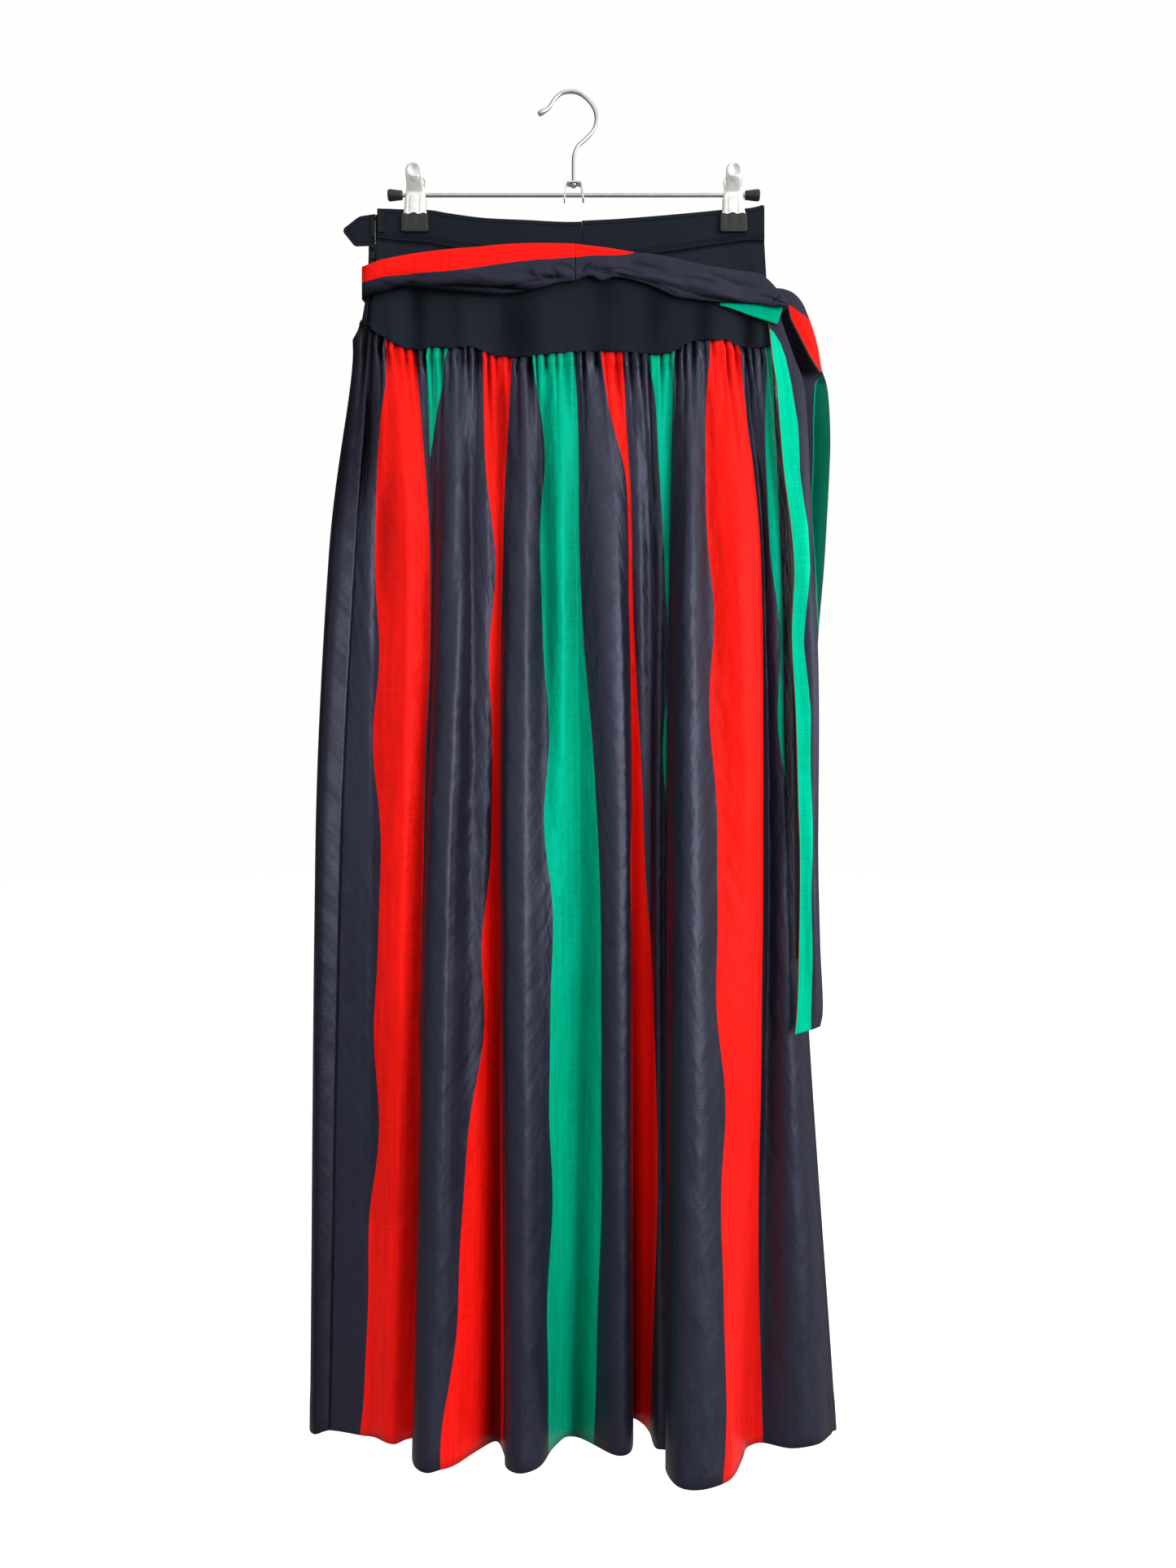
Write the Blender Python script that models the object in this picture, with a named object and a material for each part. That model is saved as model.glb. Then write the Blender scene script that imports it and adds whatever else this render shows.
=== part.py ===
"""A long gathered skirt with a hip yoke, side zip and tie sash, held on a steel clip hanger.

Sizes are in millimetres. +X is to the viewer's right, +Z up, and the viewer stands at -Y. The origin
is the inside top of the hanger's hook. Fold tables give X and Z as seen from the eye point, and true
depth Y; seen() turns them into true places.
"""

import math

import bmesh
import bpy
import numpy as np

MM = 0.001

# Wall thicknesses and the gap left at seams
CLOTH_WALL = 1.4
BAND_WALL = 1.5
SASH_WALL = 1.8
SASH_UNDER_WALL = 1.0
TAIL_WALL = 1.3
SEAM_GAP = 0.3
GATHER_GAP = 0.55
BAND_GAP = 0.5
SIDE_GAP = 0.9

# Eye point from which the fold widths were read
EYE_X = 14.6
EYE_DISTANCE = 1000.0
EYE_Z = -577.0

# Skirt panel
HEM_Z = -1116.7
PANEL_LEVELS = (0.0, 0.2035, 0.467, 1.0)
PANEL_LENGTH = 905.0
FRONT_ROWS = (0, 5, 12, 22, 36, 56, 85, 125, 175, 240, 320, 410, 510, 610, 710, 810, 905)
BACK_ROWS = (0, 6, 16, 34, 60, 100, 160, 250, 370, 500, 640, 780, 905)
GATHER_HALF_PITCH = 3.9
BACK_GATHER_HALF_PITCH = 6.4
GATHER_DEPTH = 1.5
GATHER_PEAK_BELOW_SEAM = 9.0
GATHER_REACH = 15.0
GATHER_REACH_SWINGS = (9.0, 5.0)
GATHER_UNEVENNESS = (1.9, 0.73, 2.3)

# Hanger
BAR_Z = -85.0
BAR_RADIUS = 1.7
BAR_LEFT = -150.3
BAR_RIGHT = 155.8
WIRE_RADIUS = 1.7
FIT = 0.3
LEFT_CLIP_X = -129.4
RIGHT_CLIP_X = 135.9
JAW_SHEET = 0.8
JAW_GROOVE_SHARE = 0.5
JAW_GROOVE_HALF_SHARE = 0.13
JAW_EDGE_TURN = 0.9
PAD_INNER_Y = 2.05
PAD_THICKNESS = 3.1
PAD_TOP_Z = -102.6
PAD_BOTTOM_Z = -117.2
PAD_HALF_WIDTH_TOP = 10.9
PAD_HALF_WIDTH_BOTTOM = 11.6
PAD_CORNER = 2.0

# Waistband stations: x, top z, bottom z, front depth at the top, front depth at the bottom
BAND = (
    (-161.2, -96.1, -121.4, -1.9, -2.6),
    (-150.0, -96.4, -122.8, -1.4, -1.8),
    (-141.0, -96.8, -123.8, -1.0, -1.1),
    (-129.5, -97.1, -124.7, -1.0, -1.1),
    (-118.0, -97.4, -125.6, -1.0, -1.1),
    (-102.0, -100.0, -128.7, -2.6, -3.4),
    (-68.7, -104.2, -133.5, -4.4, -5.0),
    (-38.1, -105.6, -137.0, -4.8, -5.2),
    (-0.7, -107.3, -139.0, -4.8, -5.2),
    (30.0, -105.8, -138.0, -4.8, -5.2),
    (58.5, -103.6, -135.6, -4.6, -5.0),
    (87.7, -101.0, -132.1, -4.0, -4.8),
    (110.0, -98.9, -128.6, -2.4, -3.2),
    (124.0, -97.5, -126.6, -1.0, -1.1),
    (136.0, -96.7, -124.9, -1.0, -1.1),
    (148.0, -95.9, -123.4, -1.0, -1.1),
    (156.0, -94.4, -123.6, -1.0, -1.1),
    (160.6, -93.2, -124.0, -1.0, -1.05),
    (161.8, -94.4, -124.0, -1.0, -1.05),
)
BAND_SEAM_X = 9.6
BAND_SEAM_RISE = 0.8
BAND_RISE_LENGTH = 40.0
BACK_BAND_LEFT = -163.1
BACK_BAND_DROP_LEFT = 3.4
BACK_BAND_DROP = 0.5
BACK_BAND_LEVEL_X = -120.0

# Lower edge of the front yoke: x, z, depth
YOKE_SEAM = (
    (-167.3, -197.4, -3.6),
    (-155.7, -204.2, -6.4),
    (-150.0, -208.0, -7.4),
    (-138.0, -213.0, -5.6),
    (-127.2, -215.1, -2.6),
    (-115.6, -212.4, -3.6),
    (-102.0, -213.0, -6.4),
    (-92.0, -212.2, -7.4),
    (-83.6, -211.7, -6.6),
    (-74.1, -215.1, -4.4),
    (-62.0, -219.9, -2.6),
    (-50.0, -220.3, -4.4),
    (-38.1, -220.5, -6.6),
    (-28.0, -219.0, -7.4),
    (-0.7, -216.4, -5.4),
    (25.8, -215.8, -4.8),
    (44.9, -216.4, -5.4),
    (72.8, -218.5, -5.4),
    (87.7, -215.8, -6.6),
    (96.6, -209.0, -7.6),
    (112.9, -206.2, -7.8),
    (127.8, -206.2, -6.0),
    (138.0, -210.3, -3.6),
    (146.9, -213.0, -2.2),
    (156.0, -212.5, -3.8),
    (165.9, -211.7, -1.0),
)
YOKE_TOP_LEFT = -162.5
YOKE_TOP_RIGHT = 161.8

# Lower edge of the back yoke: x, z
BACK_SEAM = (
    (-180.0, -196.0),
    (-170.0, -198.0),
    (-150.0, -208.0),
    (0.0, -211.0),
    (150.0, -211.0),
    (167.0, -211.7),
)

# Back yoke, from its edge at the zip round the left side and along the back:
# top x, top y, bottom x, bottom y, how late it widens downward
YOKE_BACK = (
    (-165.4, -1.6, -170.2, -3.4, 1.0),
    (-168.4, 0.6, -175.8, 0.6, 2.2),
    (-166.0, 3.0, -172.8, 5.4, 2.2),
    (-156.0, 2.6, -163.0, 7.0, 1.5),
    (-144.0, 1.2, -150.0, 7.6, 1.0),
    (-130.0, 1.1, -131.0, 5.0, 1.0),
    (-116.0, 1.2, -112.0, 5.0, 1.0),
    (-100.0, 3.6, -92.0, 7.6, 1.0),
    (-70.0, 5.0, -66.0, 5.4, 1.0),
    (-40.0, 5.2, -40.0, 7.6, 1.0),
    (-5.0, 5.2, -5.0, 5.6, 1.0),
    (30.0, 5.2, 30.0, 7.8, 1.0),
    (65.0, 5.0, 62.0, 5.6, 1.0),
    (95.0, 4.4, 95.0, 7.8, 1.0),
    (122.0, 1.2, 120.0, 5.6, 1.0),
    (148.0, 1.1, 145.0, 6.8, 1.0),
    (157.0, 1.1, 160.0, 5.0, 1.0),
    (161.8, 1.05, 166.6, 1.0, 1.0),
)
YOKE_CORNER_X = (-163.4, -161.6)
YOKE_CORNER_DROP = 3.2

# Front skirt fold lines: seen x at the yoke seam, a fifth down, half down and at the hem,
# then depth at the last three
FRONT_FOLDS = (
    (-167, -180, -192, -202, -3, -2, -1),
    (-162, -169, -171, -177, -9, -8, -8),
    (-155, -160, -163, -165, -5, -7, -12),
    (-149, -139, -143, -150, -16, -19, -21),
    (-126, -116, -122, -129, -5, -8, -10),
    (-112, -112, -121, -132, -12, -22, -40),
    (-104, -107, -117, -129, -17, -30, -56),
    (-96, -99, -107, -119, -22, -36, -61),
    (-89, -90, -99, -109, -21, -35, -58),
    (-82, -82, -84, -96, -8, -18, -50),
    (-73, -71, -71, -79, -12, -16, -34),
    (-65, -61, -60, -62, -6, -8, -17),
    (-56, -57, -58, -55, -12, -24, -38),
    (-47, -51, -54, -53, -18, -36, -54),
    (-38, -38, -39, -41, -23, -40, -63),
    (-28, -21, -22, -25, -8, -28, -52),
    (-12, -9, -7, -12, -18, -22, -22),
    (3, 6, 10, 2, -5, -8, -7.5),
    (16, 24, 35, 38, -16, -24, -38),
    (25, 40, 47, 49, -14, -20, -35),
    (38, 48, 51, 52, -6, -10, -15),
    (44, 50, 52, 51, 1, 6, 19),
    (50, 58, 59, 62, -4, 2, 9),
    (58, 66, 67, 66, 2, 2, -2),
    (75, 75, 73, 73, -5, -8, -30),
    (84, 81, 79, 82, -2, -5, -33),
    (89, 84, 81, 80, -14, -22, -58),
    (96, 95, 93, 91, -27, -45, -81),
    (103, 105, 108, 112, -27, -45, -83),
    (111, 116, 122, 131, -16, -30, -75),
    (124, 139, 148, 143, -20, -26, -45),
    (137, 157, 160, 148, -12, -16, -24),
    (145, 161, 165, 159, -1, -1, -19),
    (156, 169, 177, 188, -9, -12, -27),
    (161, 177, 184, 205, -6, -8, -24),
    (167, 184, 190, 218, 0, 0, -6),
)

# Back skirt fold lines between the two side seams: true x at the four levels, then all four depths
BACK_FOLDS = (
    (-174, -195, -208, -212, -4, -7, -8, -7),
    (-176.5, -202, -213, -218, 2, 2, 2, 3),
    (-171, -191, -200, -202, 7, 14, 20, 26),
    (-157, -170, -172, -174, 6, 8, 10, 13),
    (-135, -146, -148, -147, 7, 18, 28, 40),
    (-114, -118, -120, -118, 5, 9, 13, 21),
    (-93, -92, -92, -90, 7, 20, 32, 46),
    (-70, -66, -64, -66, 5, 9, 14, 22),
    (-46, -40, -36, -40, 7, 19, 31, 45),
    (-22, -14, -8, -12, 6, 9, 14, 23),
    (1, 12, 22, 18, 7, 21, 34, 48),
    (25, 38, 50, 48, 7, 12, 18, 32),
    (48, 64, 80, 76, 6, 20, 33, 47),
    (72, 90, 106, 104, 6, 9, 13, 22),
    (96, 116, 130, 134, 7, 19, 29, 42),
    (119, 140, 152, 162, 6, 8, 11, 18),
    (140, 161, 172, 191, 7, 15, 21, 30),
    (157, 177, 185, 209, 6, 9, 11, 16),
    (166.8, 187, 192.5, 222, 3, 4, 4, 2),
)

# Front sash: seen x, top z, bottom z, depth
SASH_FRONT = (
    (-173.3, -146.0, -172.6, 0.9),
    (-173.8, -145.0, -172.4, -2.2),
    (-171.2, -143.8, -169.6, -6.6),
    (-165.0, -141.6, -167.6, -9.0),
    (-159.1, -139.3, -166.1, -9.8),
    (-147.0, -136.8, -163.6, -10.0),
    (-135.3, -134.5, -161.4, -9.7),
    (-121.0, -132.5, -162.6, -9.9),
    (-107.4, -130.8, -164.1, -10.6),
    (-94.0, -129.4, -165.6, -10.9),
    (-79.6, -128.4, -166.8, -10.4),
    (-57.8, -126.3, -167.5, -9.9),
    (-38.1, -125.3, -164.8, -10.6),
    (-24.0, -125.2, -161.6, -10.9),
    (-10.2, -125.3, -158.0, -10.4),
    (3.4, -125.7, -156.6, -9.9),
    (17.0, -127.4, -152.5, -10.0),
    (25.8, -128.4, -156.6, -10.3),
    (37.4, -130.1, -153.2, -10.2),
    (55.1, -133.1, -156.6, -9.8),
    (72.8, -134.8, -162.7, -10.0),
    (87.7, -137.9, -169.5, -10.4),
    (102.0, -141.2, -171.8, -10.8),
    (117.0, -144.4, -173.6, -11.2),
    (138.7, -147.8, -174.6, -10.6),
    (158.4, -150.8, -176.3, -10.2),
    (165.0, -155.6, -177.6, -10.6),
    (170.6, -161.4, -178.4, -11.0),
    (176.1, -168.2, -178.4, -11.4),
    (181.6, -174.3, -177.2, -11.0),
)
SASH_SEAM_X = 3.4
SASH_ROLL_HEIGHT = 1.0

# Back sash: true x, top z, bottom z, depth
SASH_BACK = (
    (-173.2, -146.4, -172.4, 1.7),
    (-172.6, -145.4, -172.4, 5.2),
    (-167.0, -143.0, -172.0, 8.8),
    (-150.0, -139.0, -169.0, 10.4),
    (-110.0, -133.0, -163.0, 10.6),
    (-60.0, -129.0, -160.0, 10.2),
    (0.0, -128.0, -159.0, 10.6),
    (60.0, -131.0, -161.0, 10.2),
    (110.0, -139.0, -168.0, 10.6),
    (148.0, -147.0, -174.0, 9.6),
    (160.0, -152.4, -176.6, 8.2),
    (166.4, -157.0, -178.0, 5.6),
    (168.2, -161.0, -179.0, 3.2),
)

# Turned-under layer below the sash by the knot: seen x, top z, bottom z, depth
SASH_UNDER = (
    (124.6, -175.2, -176.8, -8.0),
    (136.0, -175.4, -180.2, -8.2),
    (148.0, -175.8, -184.6, -8.4),
    (160.0, -176.2, -188.8, -8.4),
    (168.0, -176.4, -191.4, -8.6),
    (172.4, -176.6, -192.6, -8.6),
    (174.6, -176.8, -187.6, -8.5),
    (177.0, -177.0, -180.4, -8.4),
)

# Hanging ends: seen x and z of the left edge, of the right edge, and depth
TAIL_FRONT = (
    (167.0, -193.0, 175.6, -186.4, -6.2),
    (167.8, -202.6, 178.9, -198.0, -7.7),
    (169.3, -220.0, 188.0, -221.0, -13.4),
    (171.4, -242.3, 196.5, -242.3, -16.4),
    (174.1, -274.9, 197.9, -274.9, -18.0),
    (177.5, -315.0, 199.9, -315.0, -18.0),
    (183.6, -362.6, 202.0, -362.6, -18.0),
    (186.3, -398.0, 202.6, -398.0, -18.0),
    (184.3, -451.0, 206.0, -451.0, -19.0),
    (187.7, -519.7, 207.4, -519.7, -20.0),
    (189.7, -595.2, 207.0, -595.2, -21.0),
    (191.0, -636.0, 206.7, -636.0, -21.0),
    (190.4, -712.2, 208.4, -712.2, -22.0),
    (188.4, -770.0, 210.6, -768.0, -22.0),
    (186.7, -786.7, 208.6, -779.5, -22.0),
)
TAIL_REAR = (
    (169.6, -175.6, 170.6, -162.6, -3.8),
    (172.4, -179.6, 178.0, -163.4, -3.8),
    (174.1, -185.0, 186.2, -166.8, -4.0),
    (174.9, -190.4, 193.4, -174.6, -4.4),
    (175.6, -196.2, 198.2, -185.4, -4.8),
    (177.0, -203.4, 202.6, -197.4, -5.4),
    (179.5, -215.4, 206.7, -213.0, -6.6),
    (182.9, -231.0, 209.6, -230.0, -8.2),
    (187.0, -246.2, 214.2, -245.7, -9.6),
    (192.4, -287.2, 216.9, -287.2, -11.0),
    (193.1, -315.0, 216.2, -315.0, -11.0),
    (191.8, -355.2, 214.2, -355.2, -11.0),
    (189.7, -398.0, 211.5, -398.0, -11.0),
    (185.6, -455.0, 206.7, -455.0, -11.5),
    (185.6, -520.0, 204.7, -520.0, -12.0),
    (187.0, -602.0, 204.0, -602.0, -13.0),
    (188.4, -723.0, 204.0, -724.4, -14.0),
)
TAIL_FULLNESS = 1.6
TAIL_TWIST = 0.7
TAIL_OPENING_ROWS = 7.0

# Knot behind the end of the front sash
KNOT_CENTRE = (174.6, 0.7, -170.6)
KNOT_HALF_SIZE = (5.0, 3.2, 7.4)
KNOT_WAIST_SHARE = 0.14
KNOT_WAIST_AT = 0.25

# Pointed tab: x and z round its outline, and its depth
TAB_OUTLINE = (
    (-189.7, -115.1),
    (-188.6, -112.9),
    (-178.0, -104.0),
    (-175.2, -102.5),
    (-163.5, -100.2),
    (-163.5, -126.6),
    (-178.6, -127.8),
    (-180.8, -127.2),
    (-189.0, -117.2),
)
TAB_DEPTH = 1.15
TAB_TURN = 0.1

# Zip
TAPE_WIDTH = 3.6
TAPE_WALL = 0.8
TAPE_BEHIND = 1.7
TAPE_HEIGHTS = (-126.5, -140.0, -160.0, -180.0, -197.5, -215.0, -240.0, -270.0, -306.0)
TAPE_SHIFT_Z = (-215.0, -198.0)
TAPE_SHIFT = -0.6
SLIDER_SIZE = (5.4, 2.4, 6.5)
SLIDER_CENTRE = (-165.0, -5.2, -137.8)
SLIDER_BEVEL = 0.9
PULL_SIZE = (3.2, 0.9, 18.0)
PULL_CENTRE = (-165.2, -5.9, -150.4)
PULL_BEVEL = 0.3
STOP_SIZE = (1.5, 0.7, 5.3)
STOP_CENTRE = (-162.3, -4.4, -131.0)
STOP_BEVEL = 0.2

# Fastener by the side opening
PLATE_SIZE = (4.8, 0.7, 18.6)
PLATE_CENTRE = (-157.6, -3.5, -108.1)
PLATE_BEVEL = 0.25
CATCH_SIZE = (2.8, 1.3, 16.4)
CATCH_CENTRE = (-165.3, -0.75, -112.0)
CATCH_BEVEL = 0.5

# Clip jaw: z, half width, distance from the middle plane, rib height
JAW = (
    (-62.9, 2.4, 11.2, 0.0),
    (-63.8, 4.8, 11.2, 0.0),
    (-66.0, 6.4, 11.0, 0.0),
    (-69.0, 7.0, 10.4, -0.7),
    (-71.6, 7.0, 9.5, -0.9),
    (-73.6, 6.9, 8.6, 0.0),
    (-76.6, 6.6, 7.0, 0.0),
    (-80.0, 6.9, 4.8, 0.0),
    (-83.2, 7.7, 3.0, 0.3),
    (-85.0, 8.0, 2.62, 0.4),
    (-87.4, 8.3, 2.9, 0.6),
    (-92.0, 8.4, 4.1, 0.6),
    (-97.4, 8.6, 4.9, 0.6),
    (-102.2, 9.6, 4.7, 0.6),
)

# Hook wire: x, z and radius along its middle
HOOK = (
    (-25.2, -16.5, 2.3),
    (-23.0, -15.2, 2.3),
    (-20.0, -13.6, 1.8),
    (-16.6, -10.2, 1.7),
    (-13.2, -4.8, 1.7),
    (-7.2, 0.3, 1.7),
    (0.0, 1.7, 1.7),
    (7.2, 0.3, 1.7),
    (14.3, -4.8, 1.7),
    (19.8, -12.2, 1.7),
    (21.8, -20.9, 1.7),
    (19.7, -30.1, 1.7),
    (13.6, -37.2, 1.7),
    (6.2, -44.2, 1.7),
    (3.2, -51.6, 1.7),
    (2.8, -60.0, 1.7),
    (2.8, -70.0, 1.7),
    (2.8, -76.4, 1.7),
)
HOOK_TIP = ((1.9, 1.0), (1.2, 1.9))
STEM_HEAD = ((-76.5, 3.0), (-77.6, 2.8), (-78.4, 1.8))
STEM_X = 2.8
STIRRUP_TOP_Z = -74.6
STIRRUP_THICKNESS = 1.3
STIRRUP_DEPTH = 8.0
STIRRUP_BOTTOM_Z = -89.6
STIRRUP_HALF_TOP = 6.9
STIRRUP_HALF_BOTTOM = 8.5
STIRRUP_BEND = (0.2, 1.2, 2.2)
STIRRUP_INNER_BEND = (0.1, 1.6, 2.6)

# Rubber cap: how far it grips the bar, then distance from its mouth and radius round its outside
CAP_GRIP = 10.0
CAP_PROFILE = ((0.0, 3.35), (0.4, 3.65), (10.7, 4.75), (11.7, 4.45), (12.3, 2.85))

# Colours: base colour, roughness, metallic
COLOURS = {
    "navy_band": ((0.010, 0.011, 0.017), 0.85, 0.0),
    "yoke_black": ((0.010, 0.014, 0.017), 0.85, 0.0),
    "navy_satin": ((0.022, 0.020, 0.038), 0.5, 0.0),
    "sash_navy": ((0.020, 0.019, 0.036), 0.5, 0.0),
    "tail_green": ((0.0, 0.33, 0.20), 0.5, 0.0),
    "tail_navy": ((0.022, 0.022, 0.040), 0.5, 0.0),
    "zip_black": ((0.012, 0.012, 0.014), 0.6, 0.0),
    "dull_metal": ((0.22, 0.22, 0.20), 0.45, 0.9),
    "bright_steel": ((0.62, 0.63, 0.64), 0.22, 1.0),
    "black_rubber": ((0.016, 0.016, 0.017), 0.75, 0.0),
}


def material(name):
    """The Principled material of that name."""
    found = bpy.data.materials.get(name)
    if found:
        return found
    colour, roughness, metallic = COLOURS[name]
    made = bpy.data.materials.new(name)
    made.use_nodes = True
    shader = made.node_tree.nodes["Principled BSDF"]
    shader.inputs["Base Color"].default_value = (*colour, 1.0)
    shader.inputs["Roughness"].default_value = roughness
    shader.inputs["Metallic"].default_value = metallic
    made.diffuse_color = (*colour, 1.0)
    return made


def body(name, points, faces, colour, rounded=True):
    """One closed mesh object from points in millimetres."""
    mesh = bpy.data.meshes.new(name)
    mesh.from_pydata([tuple(float(c) * MM for c in p) for p in points], [], faces)
    work = bmesh.new()
    work.from_mesh(mesh)
    bmesh.ops.recalc_face_normals(work, faces=work.faces)
    work.to_mesh(mesh)
    work.free()
    for polygon in mesh.polygons:
        polygon.use_smooth = rounded
    mesh.materials.append(material(colour))
    made = bpy.data.objects.new(name, mesh)
    bpy.context.collection.objects.link(made)
    return made


def seen(x, z, y):
    """True place of what is seen at x and z with depth y."""
    nearness = 1.0 + y / EYE_DISTANCE
    return (EYE_X + (x - EYE_X) * nearness, y, EYE_Z + (z - EYE_Z) * nearness)


def eased(knots, values, at):
    """Smooth values at the places asked for, never passing the two neighbours."""
    x = np.asarray(knots, float)
    y = np.asarray(values, float)
    at = np.asarray(at, float)
    step = np.diff(x)
    slope = np.diff(y, axis=0) / step.reshape((-1,) + (1,) * (y.ndim - 1))
    tangent = np.zeros_like(y)
    tangent[0] = slope[0]
    tangent[-1] = slope[-1]
    before, after = slope[:-1], slope[1:]
    both = before + after
    both = np.where(np.abs(both) < 1e-9, 1.0, both)
    tangent[1:-1] = np.where(before * after > 0, 2 * before * after / both, 0.0)
    i = np.clip(np.searchsorted(x, at, side="right") - 1, 0, len(step) - 1)
    h = step[i].reshape(at.shape + (1,) * (y.ndim - 1))
    u = ((at - x[i]) / step[i]).reshape(at.shape + (1,) * (y.ndim - 1))
    return (
        y[i] * (2 * u**3 - 3 * u**2 + 1)
        + tangent[i] * h * (u**3 - 2 * u**2 + u)
        + y[i + 1] * (3 * u**2 - 2 * u**3)
        + tangent[i + 1] * h * (u**3 - u**2)
    )


def across(lines, steps):
    """Smooth curves through an array of lines, with steps[i] parts from each to the next."""
    padded = np.concatenate([2 * lines[:1] - lines[1:2], lines, 2 * lines[-1:] - lines[-2:-1]])
    root = np.sqrt(np.linalg.norm(np.diff(padded, axis=0), axis=2, keepdims=True)) + 1e-6
    made = []
    for i, count in enumerate(steps):
        a, b, c, d = padded[i : i + 4]
        ta, tb, tc = root[i], root[i + 1], root[i + 2]
        leave = tb * ((b - a) / ta - (c - a) / (ta + tb) + (c - b) / tb)
        arrive = tb * ((c - b) / tb - (d - b) / (tb + tc) + (d - c) / tc)
        for k in range(count):
            u = k / count
            made.append(
                b * (2 * u**3 - 3 * u**2 + 1)
                + leave * (u**3 - 2 * u**2 + u)
                + c * (3 * u**2 - 2 * u**3)
                + arrive * (u**3 - u**2)
            )
    made.append(lines[-1])
    return np.array(made)


def facing(grid):
    """Unit normals of a grid of points."""
    along = np.gradient(grid, axis=1)
    down = np.gradient(grid, axis=0)
    normal = np.cross(along, down)
    return normal / (np.linalg.norm(normal, axis=2, keepdims=True) + 1e-12)


def wall(name, grid, thickness, colour):
    """A closed cloth wall whose middle surface is a grid of points, rows by columns."""
    rows, cols = grid.shape[:2]
    offset = facing(grid) * thickness / 2
    points = np.concatenate([(grid + offset).reshape(-1, 3), (grid - offset).reshape(-1, 3)])
    behind = rows * cols
    faces = []
    for r in range(rows - 1):
        for c in range(cols - 1):
            a = r * cols + c
            b, e, f = a + 1, a + cols, a + cols + 1
            faces.append((a, b, f, e))
            faces.append((behind + a, behind + e, behind + f, behind + b))
    rim = [(0, c) for c in range(cols)]
    rim += [(r, cols - 1) for r in range(1, rows)]
    rim += [(rows - 1, c) for c in range(cols - 2, -1, -1)]
    rim += [(r, 0) for r in range(rows - 2, 0, -1)]
    ring = [r * cols + c for r, c in rim]
    for a, b in zip(ring, ring[1:] + ring[:1]):
        faces.append((b, a, behind + a, behind + b))
    return body(name, points, faces, colour)


def gather_steps(seam_x, half_pitch):
    """Columns between fold lines: one for each half gather at the seam, an even number in all."""
    widths = np.abs(np.diff(np.asarray(seam_x, float)))
    steps = [max(2, int(round(w / half_pitch))) for w in widths]
    steps[-1] += sum(steps) % 2
    return steps


def straightened(heights):
    """Seam heights by column, with every second one midway between its neighbours."""
    made = heights.copy()
    made[1:-1:2] = (heights[0:-2:2] + heights[2::2]) / 2
    return made


def hung(grid, top, share):
    """The grid with each column let down evenly from its height at the seam to the hem."""
    grid[:, :, 2] = top[None, :] + (HEM_Z - top)[None, :] * share[:, None]
    return grid


def seen_x(points):
    """X of points as seen from the eye point."""
    return EYE_X + (points[..., 0] - EYE_X) / (1.0 + points[..., 1] / EYE_DISTANCE)


def back_seam_at(x):
    """Z of the back yoke's lower edge at x."""
    table = np.array(BACK_SEAM)
    return np.interp(x, table[:, 0], table[:, 1])


def gathered(grid, below, depth):
    """The grid with its small gathers added: alternate columns in and out near the seam."""
    cols = grid.shape[1]
    column = np.arange(cols)
    turn = np.where(column % 2 == 0, 1.0, -1.0)
    quick, slow, third = GATHER_UNEVENNESS
    reach = GATHER_REACH + GATHER_REACH_SWINGS[0] * np.sin(column * quick)
    reach += GATHER_REACH_SWINGS[1] * np.sin(column * slow + 1.0)
    size = depth * (0.8 + 0.2 * np.sin(column * third + 0.5))
    start = np.minimum(below / GATHER_PEAK_BELOW_SEAM, 1.0)[:, None]
    past = np.maximum(below - GATHER_PEAK_BELOW_SEAM, 0.0)[:, None]
    height = size * (0.35 + 0.65 * start) * np.exp(-past / reach)
    fade = np.minimum(np.minimum(column, cols - 1 - column) / 2.0, 1.0)
    return grid + facing(grid) * (turn * height * fade)[:, :, None]


def true_z(z, y):
    """True height of what is seen at height z with depth y."""
    return EYE_Z + (z - EYE_Z) * (1.0 + y / EYE_DISTANCE)


def band_at(x):
    """True top z, bottom z and the front depths of the waistband at x."""
    table = np.array(BAND)
    station = eased(table[:, 0], table[:, 1:], x)
    station[:, 0] = true_z(station[:, 0], station[:, 2])
    station[:, 1] = true_z(station[:, 1], station[:, 3])
    return station


def yoke_seam_at(x):
    """True z and depth of the yoke's lower edge at x."""
    table = np.array(YOKE_SEAM)
    seam = eased(table[:, 0], table[:, 1:], x)
    seam[:, 0] = true_z(seam[:, 0], seam[:, 1])
    return seam


def front_panel(rows, refine):
    """Middle surface of the front skirt panel: rows are distances below the seam."""
    table = np.array(FRONT_FOLDS, float)
    share = np.asarray(rows, float) / PANEL_LENGTH
    seam = yoke_seam_at(table[:, 0])
    x = eased(PANEL_LEVELS, table[:, 0:4].T, share)
    depth = np.vstack([seam[:, 1], table[:, 4:7].T])
    y = eased(PANEL_LEVELS, depth, share)
    nearness = 1.0 + y / EYE_DISTANCE
    lines = np.stack([EYE_X + (x - EYE_X) * nearness, y, 0 * y], axis=2).transpose(1, 0, 2)
    steps = [n * refine for n in gather_steps(table[:, 0], GATHER_HALF_PITCH)]
    grid = across(lines, steps).transpose(1, 0, 2)
    top = straightened(yoke_seam_at(seen_x(grid[0]))[:, 0] - GATHER_GAP)
    return hung(grid, top, share)


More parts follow.
